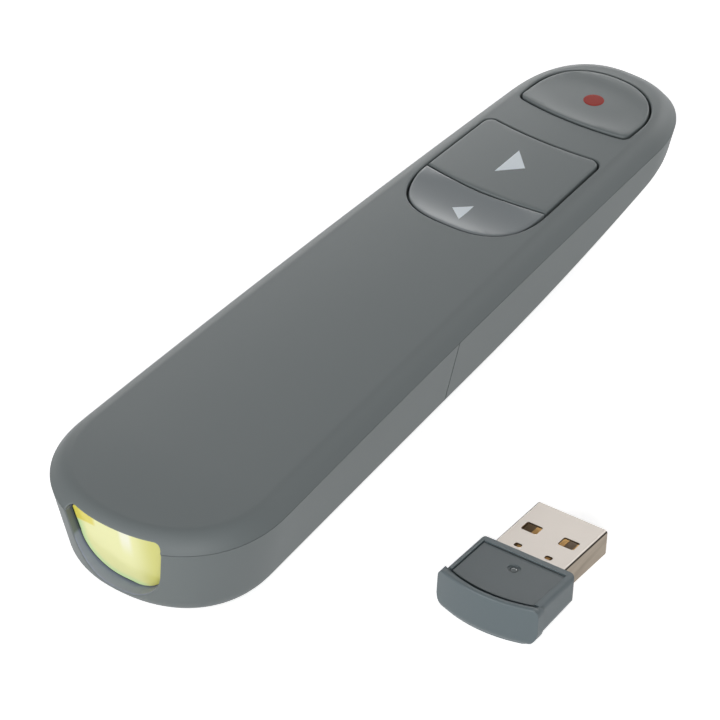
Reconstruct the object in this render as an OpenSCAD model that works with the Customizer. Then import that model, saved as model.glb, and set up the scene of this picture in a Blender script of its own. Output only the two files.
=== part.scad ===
// Wireless presentation clicker with its USB receiver.
// Millimetres. +Z is up, +Y runs from the tail to the laser end, and the origin
// is on the underside, half way along the clicker. A station is a distance
// along the clicker from its tail tip.

/* [Clicker outline] */
// Length from the tail tip to the laser end
body_length = 139; // [134:1:146]
// Half width that the straight sides would have at the tail tip
tail_half_width = 19.35; // [18.9:0.05:20.4]
// Half width that the straight sides would have at the laser end
front_half_width = 13.35; // [13:0.05:14.4]
// Length of the rounded tail
tail_cap = 18.7; // [16:0.1:21]
// Squareness of the rounded tail (2 is an ellipse)
tail_power = 2.15; // [2:0.05:2.5]
// Length of the rounded laser end
front_cap = 16.5; // [14:0.1:19]
// Squareness of the rounded laser end
front_power = 2.37; // [2.1:0.01:2.8]
// Station of the reference point on the underside
origin_station = 70; // [68:1:74]

/* [Clicker section] */
// Height of the parting line at the tail
seam_tail = 13.7; // [13.5:0.1:14.6]
// Height of the parting line at the laser end
seam_front = 13.0; // [12.8:0.1:13.8]
// Arch of the parting line between its ends
seam_arch = 1.2; // [1:0.1:1.8]
// Rise of the cover's rounded edge above the parting line
edge_rise = 2.7; // [2.6:0.05:3.1]
// Width of the cover's rounded edge
edge_run = 3.5; // [3:0.1:4.2]
// Further rise of the cover at its centre line
crown = 0.5; // [0.3:0.05:0.8]
// Lean of the lower walls, in degrees
draft = 12; // [9:0.5:13]
// Radius between the lower walls and the base
base_radius = 4; // [3:0.1:4.6]
// Length of the base that curves up to the laser end
bow_length = 63; // [57:1:64]
// Height of the base at the laser end
bow_rise = 7.9; // [6.5:0.1:8]

/* [Shells] */
// Wall thickness of the shells
wall = 1.5; // [1.3:0.05:1.6]
// Gap along the parting line
seam_gap = 0.2; // [0.15:0.05:0.3]
// Distance from the battery bay to the joint of the door and the front shell
door_space = 3; // [2.5:0.1:4]
// Gap between the battery door and the front shell
door_gap = 0.25; // [0.2:0.05:0.35]
// Height of the lip that locates the cover in the front shell
lip_height = 1.2; // [0.8:0.1:1.6]
// Thickness of that lip
lip_wall = 0.6; // [0.5:0.05:0.7]
// Clearance between the lip and the shell
lip_gap = 0.12; // [0.1:0.01:0.2]

/* [Keys] */
// Length of the next key on the centre line
next_length = 16.5; // [15.5:0.1:17.2]
// Half width of the page keys at their split
key_half_width = 10.95; // [10:0.05:11.2]
// Half width of the next key at its far end
next_far_half_width = 10.45; // [9.6:0.05:10.7]
// Radius of the curved key ends
key_arc = 42; // [38:1:60]
// Length of the back key
back_length = 9.8; // [9.5:0.1:11]
// Distance from the laser end to the laser key's near end
laser_key_back = 20.1; // [19.6:0.1:20.6]
// Length of the laser key on the centre line
laser_length = 14.7; // [14.2:0.1:15]
// Length of the cover between the laser key and the next key
key_bridge = 7.7; // [7.2:0.05:8.2]
// Length of the laser key's rounded end
laser_bow = 9.6; // [9:0.1:10.2]
// Half width of the laser key
laser_half_width = 9.9; // [9.4:0.05:10.2]
// Radius of the laser key's near end
laser_arc = 34; // [30:1:45]
// Corner radius of the keys
key_corner = 1.3; // [0.9:0.1:1.8]
// Gap round the keys
key_gap = 0.35; // [0.25:0.05:0.5]
// Height of the keys above the cover
key_proud = 0.25; // [0.1:0.05:0.4]
// Travel of a key
key_travel = 0.4; // [0.3:0.05:0.45]
// Width of the retaining flange round a key
key_flange = 0.8; // [0.6:0.05:0.9]
// Least thickness of that flange
flange_thickness = 1.0; // [0.8:0.05:1.1]
// Radius of the finger dish in the laser key
dish_radius = 46; // [40:1:60]
// Depth of the finger dish
dish_depth = 0.5; // [0.3:0.05:0.6]
// Radius of the thumb trough in the back key
trough_radius = 19; // [16:0.5:24]
// Depth of the thumb trough
trough_depth = 0.8; // [0.5:0.05:0.9]

/* [Circuit board] */
// Height of the board's top face
board_top = 8.9; // [8.8:0.05:9.1]
// Thickness of the board
board_thickness = 1.0; // [0.8:0.1:1.1]
// Half width of the board under the page keys
board_half_width = 9.8; // [9.2:0.1:10.2]
// Side of a push switch
switch_side = 6; // [5:0.1:6.2]
// Height of a push switch's body
switch_height = 3.1; // [2.9:0.05:3.2]
// Radius of a switch plunger
plunger_radius = 1.6; // [1.3:0.05:1.8]
// Height of a plunger above its switch body
plunger_rise = 0.9; // [0.8:0.05:1]

/* [Laser] */
// Radius of the laser barrel
barrel_radius = 1.65; // [1.5:0.05:1.7]
// Length of the laser barrel
barrel_length = 8.4; // [7.5:0.1:8.6]
// Height of the laser's axis
laser_axis = 10.75; // [10.6:0.05:10.8]
// Width of the laser aperture
aperture_width = 6.6; // [6:0.1:7.4]
// Height of the aperture's lower edge
aperture_low = 9.2; // [9:0.1:9.4]
// Corner radius of the aperture
aperture_corner = 1.2; // [0.8:0.1:1.6]
// Depth of the window behind the laser end
window_recess = 0.9; // [0.7:0.1:1.2]
// Thickness of the laser window and of the tail lens
pane_thickness = 1.2; // [1:0.05:1.4]

/* [Tail lens] */
// Width of the opening in the tail
tail_window_width = 17.6; // [16.6:0.1:18.2]
// Height of the opening's lower edge
tail_window_low = 2.4; // [2.3:0.1:3.2]
// Height of the cover above the opening
lintel = 1.95; // [1.8:0.05:2.2]
// Lean of the opening's sides, in degrees
tail_window_lean = 10; // [8:0.5:12]
// Radius of the opening's upper corners
tail_window_corner = 1.5; // [1.2:0.1:2]
// Radius of the opening's lower corners
tail_window_round = 7; // [6:0.1:7.2]
// Depth of the lens's top edge behind the tail tip
lens_recess = 2.8; // [2.6:0.1:3.2]
// Lean of the lens, in degrees
lens_lean = 9.5; // [8:0.5:11]
// Clearance round the lens
lens_clearance = 0.12; // [0.08:0.01:0.2]
// Wall of the frame round the lens
frame_wall = 1.0; // [0.8:0.05:1.2]

/* [Batteries] */
// Radius of a battery
battery_radius = 5.25; // [5:0.05:5.25]
// Length of a battery with its nub
battery_length = 44.5; // [43.5:0.1:44.6]
// Distance between the battery axes
battery_pitch = 11.2; // [10.8:0.05:11.3]
// Height of the battery axes
battery_axis = 7.4; // [7.2:0.05:7.5]
// Radius of the positive nub
nub_radius = 1.9; // [1.6:0.05:2.2]
// Length of the positive nub
nub_length = 1.2; // [0.8:0.05:1.4]
// Station of the inside of the bay's rear wall
bay_rear = 11.5; // [11:0.1:12]
// Length left for the springs
spring_length = 5.2; // [4.8:0.1:5.4]
// Wire radius of the springs
spring_wire = 0.3; // [0.2:0.02:0.34]
// Thickness of the contact plates
contact_thickness = 0.4; // [0.3:0.05:0.5]
// Wall of the battery tray
tray_wall = 1.1; // [0.9:0.05:1.2]
// Clearance between the batteries and the tray
battery_clearance = 0.2; // [0.15:0.05:0.3]
// Width of the runners that guide the door
runner_width = 0.8; // [0.6:0.05:0.8]
// Slope of the runners down towards the tail, in degrees
runner_slope = 1.2; // [1.1:0.05:1.6]
// Running clearance of the door on its runners
runner_clearance = 0.2; // [0.15:0.05:0.25]

/* [Screws] */
// Radius of a screw's shank
screw_radius = 0.95; // [0.8:0.05:1.05]
// Radius of a screw's head
screw_head = 1.8; // [1.6:0.05:1.9]
// Height of a screw's head
screw_head_height = 1.2; // [1:0.05:1.3]
// Length of a case screw's shank
case_screw_length = 8; // [7.4:0.1:8.4]
// Radius of the posts and bosses that the screws hold
post_radius = 2.6; // [2.4:0.05:2.7]
// Depth of the counterbores in the base
counterbore = 2.0; // [1.6:0.1:2.2]

/* [Receiver] */
// Width of the USB plug
plug_width = 12.0; // [11.8:0.1:12.2]
// Height of the USB plug
plug_height = 4.5; // [4.4:0.05:4.6]
// Length of the plug outside the housing
plug_length = 12.1; // [11.5:0.1:12.6]
// Thickness of the plug's metal
plug_metal = 0.3; // [0.25:0.01:0.34]
// Width of the housing
housing_width = 16.2; // [15.8:0.1:17]
// Length of the housing without its rounded end
housing_length = 11.1; // [10.8:0.1:11.6]
// Height of the housing above the plug's top
housing_above = 0.25; // [0.15:0.05:0.4]
// Height of the housing below the plug's bottom, at the plug
housing_below = 0.9; // [0.8:0.05:1.2]
// Width of the grip at the housing's end
grip_width = 17.1; // [16.8:0.1:17.8]
// Thickness of the grip
grip_thickness = 1.5; // [1.4:0.1:1.8]
// Radius of the grip's curved face
grip_arc = 22; // [20:0.5:26]
// Height of the grip below the plug's bottom
grip_below = 1.9; // [1.6:0.1:2.2]
// Wall of the housing
housing_wall = 1.0; // [0.8:0.05:1.1]
// Gap round the lid in the housing's top
lid_gap = 0.12; // [0.08:0.01:0.2]
// Depth of the lid below the housing's rim
lid_recess = 0.2; // [0.1:0.05:0.3]
// Turn of the receiver against the clicker, in degrees
receiver_turn = 1.6; // [0:0.1:5]
// Distance of the plug's tip to the side of the clicker's centre line
receiver_side = 45.7; // [42:0.1:60]
// Station of the plug's tip
receiver_station = 51.4; // [40:0.1:70]

/* [Hidden] */

// Stations that follow from the sizes above.
bow_start = body_length - bow_length;
bay_front = bay_rear + 2*contact_thickness + battery_length + spring_length;
door_station = bay_front + door_space;
laser_near = body_length - laser_key_back;
page_split = laser_near - key_bridge - next_length;

// Smoothness: steps along half of the outline, those of them round the two
// ends, and round cylinders.
steps = 32;
tail_steps = 12;
front_steps = 10;
$fn = 48;
ring_count = 2*steps;
tiny = 0.01;
tall = 40;
hole_gap = 0.03;

// ---- Outline and section of the clicker ----

function taper(s) = tail_half_width + (front_half_width - tail_half_width)*s/body_length;
function cap(t, power) = t <= 0 ? 1 : pow(max(0, 1 - pow(t, power)), 1/power);
function half_width(s) = taper(s)
    * cap((tail_cap - s)/tail_cap, tail_power)
    * cap((s - body_length + front_cap)/front_cap, front_power);
function seam_z(s) = seam_tail + (seam_front - seam_tail)*s/body_length
    + seam_arch*4*(s/body_length)*(1 - s/body_length);
function base_z(s) = s < bow_start ? 0
    : bow_rise*pow((s - bow_start)/(body_length - bow_start), 2);
function top_z(s) = seam_z(s) + edge_rise + crown;
function ceiling_z(s) = seam_z(s) + edge_rise - wall;

// Stations step by angle round the two ends and evenly between them.
function step_station(i) =
    i <= tail_steps ? tail_cap*(1 - cos(90*i/tail_steps))
    : i >= steps - front_steps ? body_length - front_cap*(1 - cos(90*(steps - i)/front_steps))
    : tail_cap + (body_length - tail_cap - front_cap)*(i - tail_steps)
        /(steps - tail_steps - front_steps);
function ring_station(k) = step_station(k <= steps ? k : ring_count - k);
function edge_point(k) = let (j = (k + ring_count) % ring_count, s = ring_station(j))
    [(j <= steps ? 1 : -1)*half_width(s), s];
function edge_normal(k) = let (t = edge_point(k + 1) - edge_point(k - 1)) [t.y, -t.x]/norm(t);

// A point of the outline moved inwards, then drawn towards the centre line.
function inner_point(k, inset, share) =
    let (p = edge_point(k) - inset*edge_normal(k),
         c = [0, min(max(p.y, tail_cap), body_length - front_cap)])
    c + share*(p - c);
function ring(inset, share, height) = [for (k = [0:ring_count - 1])
    let (s = ring_station(k), p = inner_point(k, inset(s), share))
    [p.x, p.y - origin_station, height(s)]];

// Rings above the parting line: the rounded edge, then the crown.
function upper_ring(inset, part, rise, lift) = ring(function(s) inset + edge_run*part, 1,
    function(s) seam_z(s) + lift + rise*(1 - pow(1 - part, 2)));
function crown_ring(inset, share, rise, lift) = ring(function(s) inset + edge_run, share,
    function(s) seam_z(s*share + min(max(s, tail_cap), body_length - front_cap)*(1 - share))
        + lift + rise + crown*(1 - share*share));

// Rings below it: the leaning wall, then the base radius. The angle is 0 on the
// wall's own level and 90 on the base.
arc_low = base_radius*(1 - sin(draft));
function wall_inset(s) = (seam_z(s) - base_z(s) - arc_low)*tan(draft);
function lower_ring(angle, thick) = ring(
    function(s) wall_inset(s) + base_radius*cos(draft) - (base_radius - thick)*cos(angle), 1,
    function(s) base_z(s) + base_radius - (base_radius - thick)*sin(angle));
function seam_ring(inset) = ring(function(s) inset, 1, function(s) seam_z(s));

function cap_faces(first) = concat([[first, first + 1, first + ring_count - 1]],
    [for (i = [1:steps - 2]) [first + i, first + i + 1, first + ring_count - i - 1,
                              first + ring_count - i]],
    [[first + steps - 1, first + steps, first + steps + 1]]);
function reversed(faces) = [for (f = faces) [for (i = [len(f) - 1:-1:0]) f[i]]];

// A closed skin through a list of rings, ended by a cap at each side.
module loft(rings) {
    last = (len(rings) - 1)*ring_count;
    polyhedron(points = [for (r = rings) each r], faces = concat(
        cap_faces(0),
        [for (j = [0:len(rings) - 2], k = [0:ring_count - 1])
            let (a = j*ring_count + k, b = j*ring_count + (k + 1) % ring_count)
            each [[a, a + ring_count, b + ring_count], [a, b + ring_count, b]]],
        reversed(cap_faces(last))));
}

edge_parts = [0, 0.12, 0.3, 0.55, 1];
crown_shares = [0.75, 0.5, 0.28, 0.1];
base_angles = [draft, 35, 55, 75, 90];

// The whole space under a skin with the cover's curves.
module cover_form(parts, inset, rise, lift) {
    loft(concat(
        [ring(function(s) inset + edge_run*parts[0], 1, function(s) seam_z(s) - tall/8)],
        [for (part = parts) upper_ring(inset, part, rise, lift)],
        [for (share = crown_shares) crown_ring(inset, share, rise, lift)]));
}

module cover_skin() {
    loft(concat(
        [for (i = [len(crown_shares) - 1:-1:0])
            crown_ring(wall, crown_shares[i], edge_rise - wall, 0)],
        [for (i = [len(edge_parts) - 1:-1:1])
            upper_ring(wall, edge_parts[i], edge_rise - wall, 0)],
        [ring(function(s) wall, 1, function(s) seam_z(s) + seam_gap)],
        [ring(function(s) 0, 1, function(s) seam_z(s) + seam_gap)],
        [for (i = [1:len(edge_parts) - 1]) upper_ring(0, edge_parts[i], edge_rise, 0)],
        [for (share = crown_shares) crown_ring(0, share, edge_rise, 0)]));
}

module lower_skin() {
    loft(concat(
        [for (i = [len(base_angles) - 1:-1:0]) lower_ring(base_angles[i], 0)],
        [seam_ring(0), seam_ring(wall)],
        [for (angle = base_angles) lower_ring(angle, wall)]));
}

// ---- Helpers ----

module at(x, s, z) { translate([x, s - origin_station, z]) children(); }

// A slab of space between two stations.
module between(from, to) {
    at(-tall, from, -tall) cube([2*tall, to - from, 2*tall]);
}

module post(x, s, low, high, radius) { at(x, s, low) cylinder(r = radius, h = high - low); }

module rounded_rect(width, low, high, corner) {
    translate([-width/2, low + corner]) square([width, high - low - 2*corner]);
    translate([-width/2 + corner, low]) square([width - 2*corner, high - low]);
    for (x = [-1, 1], y = [low + corner, high - corner])
        translate([x*(width/2 - corner), y]) circle(corner);
}

// A polygon whose corners are arcs of the given radii.
corner_steps = 8;
half_turn = 180;
function unit(v) = v/norm(v);
function corner_arc(before, corner, after, radius) =
    let (u = unit(before - corner), v = unit(after - corner), half = acos(u*v)/2,
         centre = corner + unit(u + v)*radius/sin(half),
         from = corner + u*radius/tan(half) - centre, sweep = half_turn - 2*half,
         turn = u.x*v.y - u.y*v.x > 0 ? -1 : 1)
    [for (i = [0:corner_steps]) let (a = turn*sweep*i/corner_steps)
        centre + [from.x*cos(a) - from.y*sin(a), from.x*sin(a) + from.y*cos(a)]];
function rounded(points, radii) = let (n = len(points)) [for (i = [0:n - 1])
    each corner_arc(points[(i + n - 1) % n], points[i], points[(i + 1) % n], radii[i])];

// A rounded rectangle in X and Z, run along the clicker between two stations.
module bar(from, to, width, low, high, corner) {
    at(0, to, 0) rotate([90, 0, 0]) linear_extrude(to - from)
        rounded_rect(width, low, high, corner);
}

// ---- Tail window ----

tail_window_high = top_z(0) - lintel;
frame_end = lens_recess + (tail_window_high - tail_window_low)*tan(lens_lean)
    + pane_thickness/cos(lens_lean) + frame_wall;
lens_ledge = 0.8;
lens_headroom = 0.3;

// All that lies on the tail's side of the lens face, moved inwards by a depth.
module before_lens(depth) {
    at(0, lens_recess, tail_window_high) rotate([lens_lean, 0, 0])
        translate([-tall, depth - tall, -tall]) cube([2*tall, tall, 2*tall]);
}

// The opening's outline in X and Z, moved outwards by grow, with tight upper
// and wide lower corners.
function tail_half(z, grow) =
    tail_window_width/2 + grow - (tail_window_high - z)*tan(tail_window_lean);
function tail_outline(grow, high) =
    let (low = tail_window_low - grow, wide = tail_half(high, grow), narrow = tail_half(low, grow),
         round = tail_window_round + grow)
    rounded([[-wide, high], [wide, high], [narrow, low], [-narrow, low]],
            [tail_window_corner, tail_window_corner, round, round]);

module tail_bar(from, to, grow, high = tail_window_high) {
    at(0, to, 0) rotate([90, 0, 0]) linear_extrude(to - from) polygon(tail_outline(grow, high));
}

// ---- Laser aperture ----

aperture_high = top_z(body_length) - lintel;
window_arc = 14;
window_centre = body_length - window_recess - window_arc;
window_back = window_centre - pane_thickness
    + sqrt(pow(window_arc, 2) - pow(aperture_width/2, 2));
cheek_start = window_back - frame_wall;

module laser_opening() {
    bar(window_back - hole_gap, body_length + 1, aperture_width, aperture_low, aperture_high,
        aperture_corner);
}

// ---- Battery bay ----

bay_half = battery_pitch/2 + battery_radius + battery_clearance;
tray_edge = bay_half + tray_wall;
tray_low = 3;
saddle_height = 0.4;
saddle_gap = 0.05;
tray_ceiling = battery_axis + battery_radius + saddle_gap + saddle_height;
tray_top = tray_ceiling + tray_wall;
runner_high = 9;
runner_thickness = 1;
runner_edge = tray_edge + runner_width;
tray_screw_rear = 9;
tray_screw_front = 10;
tray_screw_stations = [bay_rear + tray_screw_rear, bay_front - tray_screw_front];
tray_screw_bite = 2.0;
saddle_width = 2;
saddle_rear = 14;
saddle_front = 16;

// ---- Screws and what they hold ----

// Side, station, shoulder height, post top and boss radius of the case screws.
post_margin = 0.5;
rear_post_station = door_station + door_gap/2 + post_margin + post_radius;
rear_post_side = 9;
front_post_station = (page_split + next_length + laser_near)/2;
boss_margin = 0.35;
front_boss_radius = key_bridge/2 - key_gap/2 - key_flange - boss_margin;
front_shoulder = base_z(front_post_station) + counterbore;
board_low = board_top - board_thickness;
rear_post_top = board_low - 1.4;
front_post_top = board_top + 0.4;
case_posts = [
    [-rear_post_side, rear_post_station, counterbore, rear_post_top, post_radius],
    [rear_post_side, rear_post_station, counterbore, rear_post_top, post_radius],
    [0, front_post_station, front_shoulder, front_post_top, front_boss_radius]];
post_gap = 0.1;
screw_clearance = 0.15;

module screw(length) {
    translate([0, 0, -screw_head_height]) cylinder(r = screw_head, h = screw_head_height);
    cylinder(r = screw_radius, h = length);
}

// ---- Keys ----

split_centre = page_split + key_arc;
next_far = page_split + next_length;
far_centre = next_far + key_arc;
laser_centre = laser_near + laser_arc;
laser_round = laser_near + laser_length - laser_bow;
split_end = split_centre - sqrt(pow(key_arc, 2) - pow(key_half_width, 2));
back_depth = split_end - page_split + back_length;

module disc(station, radius) { translate([0, station]) circle(radius, $fn = ceil(8*radius)); }

module next_sides() {
    polygon([[-key_half_width, page_split - 2], [key_half_width, page_split - 2],
             [key_half_width, split_end], [next_far_half_width, next_far + 2],
             [-next_far_half_width, next_far + 2], [-key_half_width, split_end]]);
}

module next_raw(trim) {
    difference() {
        intersection() {
            next_sides();
            disc(split_centre, key_arc - trim);
        }
        disc(far_centre, key_arc);
    }
}

module next_plan() {
    offset(r = key_corner, $fn = 32) offset(delta = -key_corner) next_raw(key_gap/2);
    intersection() {
        next_raw(key_gap/2);
        translate([-tall, 0]) square([2*tall, page_split + next_length/2]);
    }
}

// The back key's near end and the laser key's far end are squarish ovals.
back_power = 2.6;
laser_power = 2.2;
module oval(half, depth, power) {
    polygon([for (a = [0:6:half_turn]) let (c = cos(a), d = sin(a))
        [half*sign(c)*pow(abs(c), 2/power), depth*pow(abs(d), 2/power)]]);
}

module back_raw() {
    translate([0, split_end]) {
        oval(key_half_width, -back_depth, back_power);
        translate([-key_half_width, 0]) square([2*key_half_width, 1]);
    }
}

module back_plan() {
    difference() {
        back_raw();
        disc(split_centre, key_arc + key_gap/2);
    }
}

module laser_raw() {
    intersection() {
        union() {
            translate([0, laser_round]) oval(laser_half_width, laser_bow, laser_power);
            translate([-laser_half_width, laser_near - 2])
                square([2*laser_half_width, laser_round - laser_near + 2]);
        }
        disc(laser_centre, laser_arc);
    }
}

module laser_plan() { offset(r = key_corner, $fn = 32) offset(delta = -key_corner) laser_raw(); }

// A plan drawn in stations, raised between two heights.
module raised(low, high) {
    translate([0, -origin_station, low]) linear_extrude(high - low) children();
}

// Underside of each key's flange: level, below the ceiling at its lowest end.
ceiling_gap = 0.15;
page_floor = min(ceiling_z(page_split - back_length), ceiling_z(next_far)) - ceiling_gap
    - flange_thickness;
laser_floor = ceiling_z(laser_round + laser_bow) - ceiling_gap - flange_thickness;
plunger_top = board_top + switch_height + plunger_rise;
boss_radius = plunger_radius + 0.4;

// The outline of the clicker, moved inwards.
module body_plan(inset) { polygon([for (k = [0:ring_count - 1]) inner_point(k, inset, 1)]); }

// child 0 is the key's plan, child 1 the plan of its flange.
module key(floor_z) {
    intersection() {
        raised(floor_z, tall) children(0);
        cover_form([1], 0, edge_rise, key_proud);
    }
    intersection() {
        raised(floor_z, tall) intersection() {
            children(1);
            body_plan(lip_inner + 0.3);
        }
        cover_form(edge_parts, wall + ceiling_gap, edge_rise - wall, -ceiling_gap);
    }
}

// A round dish for the finger, and a trough across a key for the thumb.
dish_shift = 2;
module finger_dish(station) {
    at(0, station, top_z(station) + key_proud + dish_radius - dish_depth)
        sphere(dish_radius, $fn = 120);
}

module thumb_trough(station) {
    at(-tall/2, station, top_z(station) + key_proud + trough_radius - trough_depth)
        rotate([0, 90, 0]) cylinder(r = trough_radius, h = tall, $fn = 120);
}

module press_boss(station, floor_z) {
    post(0, station, plunger_top, floor_z + tiny, boss_radius);
}

next_station = page_split + next_length/2;
back_station = page_split - back_length/2;
laser_station = laser_near + switch_side/2 - key_gap;

module plunger(station) {
    post(0, station, plunger_top - plunger_rise - 2*key_travel, plunger_top, plunger_radius);
}

module push_switch(station) {
    difference() {
        at(-switch_side/2, station - switch_side/2, board_top)
            cube([switch_side, switch_side, switch_height]);
        post(0, station, board_top + switch_height - 2*key_travel - 0.5, tall,
             plunger_radius + 0.08);
    }
}

// ---- Top cover ----

lip_outer = wall + lip_height*tan(draft) + lip_gap;
lip_inner = lip_outer + lip_wall;
module cover_lip() {
    intersection() {
        difference() {
            lip_form(lip_outer, 0);
            lip_form(lip_inner, 1);
        }
        between(door_station + 2, cheek_start - 0.4);
    }
}

// The lip runs up into the rounded edge of the cover.
module lip_form(inset, extra) {
    part = (lip_outer - wall)/edge_run;
    rise = (edge_rise - wall)*(1 - pow(1 - part, 2));
    loft([ring(function(s) inset, 1, function(s) seam_z(s) - lip_height - extra),
          ring(function(s) inset, 1, function(s) seam_z(s) + rise + wall/3 + extra)]);
}

module keypad_plan() {
    offset(delta = key_gap) {
        next_plan();
        back_plan();
        intersection() {
            next_sides();
            translate([-tall, page_split - 0.5]) square([2*tall, 2.2]);
        }
    }
}

module cover_bosses() {
    for (p = case_posts) post(p[0], p[1], p[3] + post_gap, ceiling_z(p[1]) + wall/2, p[4]);
    for (s = tray_screw_stations)
        post(0, s, tray_top, ceiling_z(s) + wall/2, post_radius);
}

module cover_pilots() {
    for (p = case_posts)
        post(p[0], p[1], p[3], p[2] + case_screw_length + 0.5, screw_radius + hole_gap);
    for (s = tray_screw_stations)
        post(0, s, tray_top - 1, tray_top + tray_screw_bite + 0.2, screw_radius + hole_gap);
}

module top_cover() {
    color([0.42, 0.45, 0.45]) difference() {
        union() {
            cover_skin();
            cover_lip();
            cover_bosses();
        }
        raised(ceiling_z(page_split) - 2, tall) keypad_plan();
        raised(ceiling_z(laser_near) - 2, tall) offset(delta = key_gap) laser_plan();
        tail_bar(-1, frame_end + lens_clearance, 0);
        laser_opening();
        cover_pilots();
    }
}

// ---- Front shell ----

pin_radius = 0.75;
rear_pin_side = 7.4;
front_pin_side = 6.2;
rear_pin_offset = 9;
front_pin_offset = 3.7;
rear_pin_station = rear_post_station + rear_pin_offset;
front_pin_station = front_post_station - front_pin_offset;
board_pins = [[-rear_pin_side, rear_pin_station], [rear_pin_side, rear_pin_station],
              [-front_pin_side, front_pin_station], [front_pin_side, front_pin_station]];
stand_radius = 1.6;
cradle_half = barrel_radius + 1;
cradle_rib = 1.6;
barrel_space = 1.5;
barrel_start = cheek_start - barrel_space - barrel_length;

module shell_posts() {
    intersection() {
        union() {
            for (p = case_posts) post(p[0], p[1], -1, p[3], post_radius);
            for (p = board_pins) post(p[0], p[1], -1, board_low, stand_radius);
            barrel_cradle();
            window_cheeks();
        }
        lower_space();
    }
    for (p = board_pins) post(p[0], p[1], board_low - tiny, board_top, pin_radius);
}

// Two ribs with a round seat for the laser barrel.
module barrel_cradle() {
    for (s = [barrel_start + 1, barrel_start + barrel_length - 3])
        at(-cradle_half, s, -1) cube([2*cradle_half, cradle_rib, laser_axis + 1]);
}

// Everything inside the lower shells' outside.
module lower_space() {
    loft(concat([for (i = [len(base_angles) - 1:-1:0]) lower_ring(base_angles[i], 0.3*wall)],
                [seam_ring(0.3*wall)]));
}

// A ledge behind the laser window.
module window_cheeks() {
    difference() {
        at(-aperture_width/2 - frame_wall, cheek_start, 0)
            cube([aperture_width + 2*frame_wall, window_back - hole_gap - cheek_start,
                  seam_front]);
        bar(cheek_start - 1, body_length, aperture_width - 1.2, aperture_low + 0.6,
            aperture_high, aperture_corner);
    }
}

module window_drum(radius) {
    at(0, window_centre, -tall/2) intersection() {
        cylinder(r = radius, h = tall, $fn = 96);
        translate([-tall, 0, 0]) cube([2*tall, tall, tall]);
    }
}

module front_shell() {
    color([0.42, 0.45, 0.45]) difference() {
        union() {
            intersection() {
                lower_skin();
                between(door_station + door_gap/2, body_length + 1);
            }
            shell_posts();
        }
        laser_opening();
        along(barrel_start - 1, cheek_start - 0.5, barrel_radius + hole_gap, 0, laser_axis);
        for (p = case_posts) {
            post(p[0], p[1], -1, p[2], screw_head + 2*screw_clearance);
            post(p[0], p[1], 0, tall, screw_radius + screw_clearance);
        }
    }
}

// ---- Battery door ----

grip_back = 9;
grip_pitch = 2.4;
grip_half = 8;
grip_depth = 0.45;
lug_thickness = 0.9;
lug_length = 5;
lug_reach = 8;
lug_end_space = 0.2;
lug_rear_space = 12;
lug_start = tray_edge + 0.3;

// The lens's opening, down to the ledge that it is glued to.
module lens_seat() {
    intersection() {
        tail_bar(-1, frame_end, 0);
        before_lens(pane_thickness);
    }
}

module lens_frame() {
    difference() {
        tail_bar(0, frame_end, frame_wall);
        lens_seat();
        tail_bar(-1, tall, -lens_ledge);
    }
}

// Lugs that hook over the runners of the battery tray.
module door_lugs() {
    at(0, bay_front + tray_wall, runner_high + runner_clearance) rotate([runner_slope, 0, 0])
        for (side = [-1, 1], back = [lug_end_space, bay_front - bay_rear - lug_rear_space])
            translate([side > 0 ? lug_start : -lug_start - lug_reach, -back - lug_length, 0])
                cube([lug_reach, lug_length, lug_thickness]);
}

module battery_door() {
    color([0.42, 0.45, 0.45]) difference() {
        union() {
            intersection() {
                lower_skin();
                between(-1, door_station - door_gap/2);
            }
            intersection() {
                union() {
                    lens_frame();
                    door_lugs();
                }
                lower_space();
            }
        }
        lens_seat();
        for (i = [0:2]) at(-grip_half, door_station - grip_back + i*grip_pitch, -1)
            cube([2*grip_half, grip_pitch/2, 1 + grip_depth]);
    }
}

// ---- Panes ----

module tail_lens() {
    color([0.85, 0.88, 0.35]) intersection() {
        difference() {
            before_lens(pane_thickness);
            before_lens(0);
        }
        tail_bar(0, frame_end, -lens_clearance, tail_window_high - lens_headroom);
    }
}

module laser_window() {
    color([0.2, 0.2, 0.22]) intersection() {
        difference() {
            window_drum(window_arc);
            window_drum(window_arc - pane_thickness);
        }
        bar(window_centre, body_length, aperture_width - 2*lens_clearance,
            aperture_low + lens_clearance, aperture_high - lens_clearance,
            aperture_corner - lens_clearance);
    }
}

// ---- Keys as nodes ----

module next_key() {
    color([0.44, 0.47, 0.47]) union() {
        key(page_floor) {
            next_plan();
            intersection() {
                offset(delta = key_gap + key_flange) next_plan();
                disc(split_centre, key_arc - key_gap/2);
            }
        }
        press_boss(next_station, page_floor);
    }
}

module back_key() {
    color([0.46, 0.49, 0.49]) union() {
        difference() {
            key(page_floor) {
                back_plan();
                difference() {
                    offset(delta = key_gap + key_flange) back_plan();
                    disc(split_centre, key_arc + key_gap/2);
                }
            }
            thumb_trough(back_station);
        }
        press_boss(back_station, page_floor);
    }
}

module laser_key() {
    color([0.44, 0.47, 0.47]) union() {
        difference() {
            key(laser_floor) {
                laser_plan();
                offset(delta = key_gap + key_flange) laser_plan();
            }
            finger_dish(laser_round + dish_shift);
        }
        press_boss(laser_station, laser_floor);
    }
}

module next_plunger() { color([0.1, 0.1, 0.1]) plunger(next_station); }
module back_plunger() { color([0.1, 0.1, 0.1]) plunger(back_station); }
module laser_plunger() { color([0.1, 0.1, 0.1]) plunger(laser_station); }
module next_switch() { color([0.2, 0.2, 0.22]) push_switch(next_station); }
module back_switch() { color([0.2, 0.2, 0.22]) push_switch(back_station); }
module laser_switch() { color([0.2, 0.2, 0.22]) push_switch(laser_station); }

// ---- Circuit board and what it carries ----

board_rear = door_station + 1.5;
board_shoulder = rear_post_station + post_radius + 1.4;
board_front = barrel_start - 0.4;
neck_half = rear_post_side - post_radius - post_margin;
nose_share = 0.8;

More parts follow.
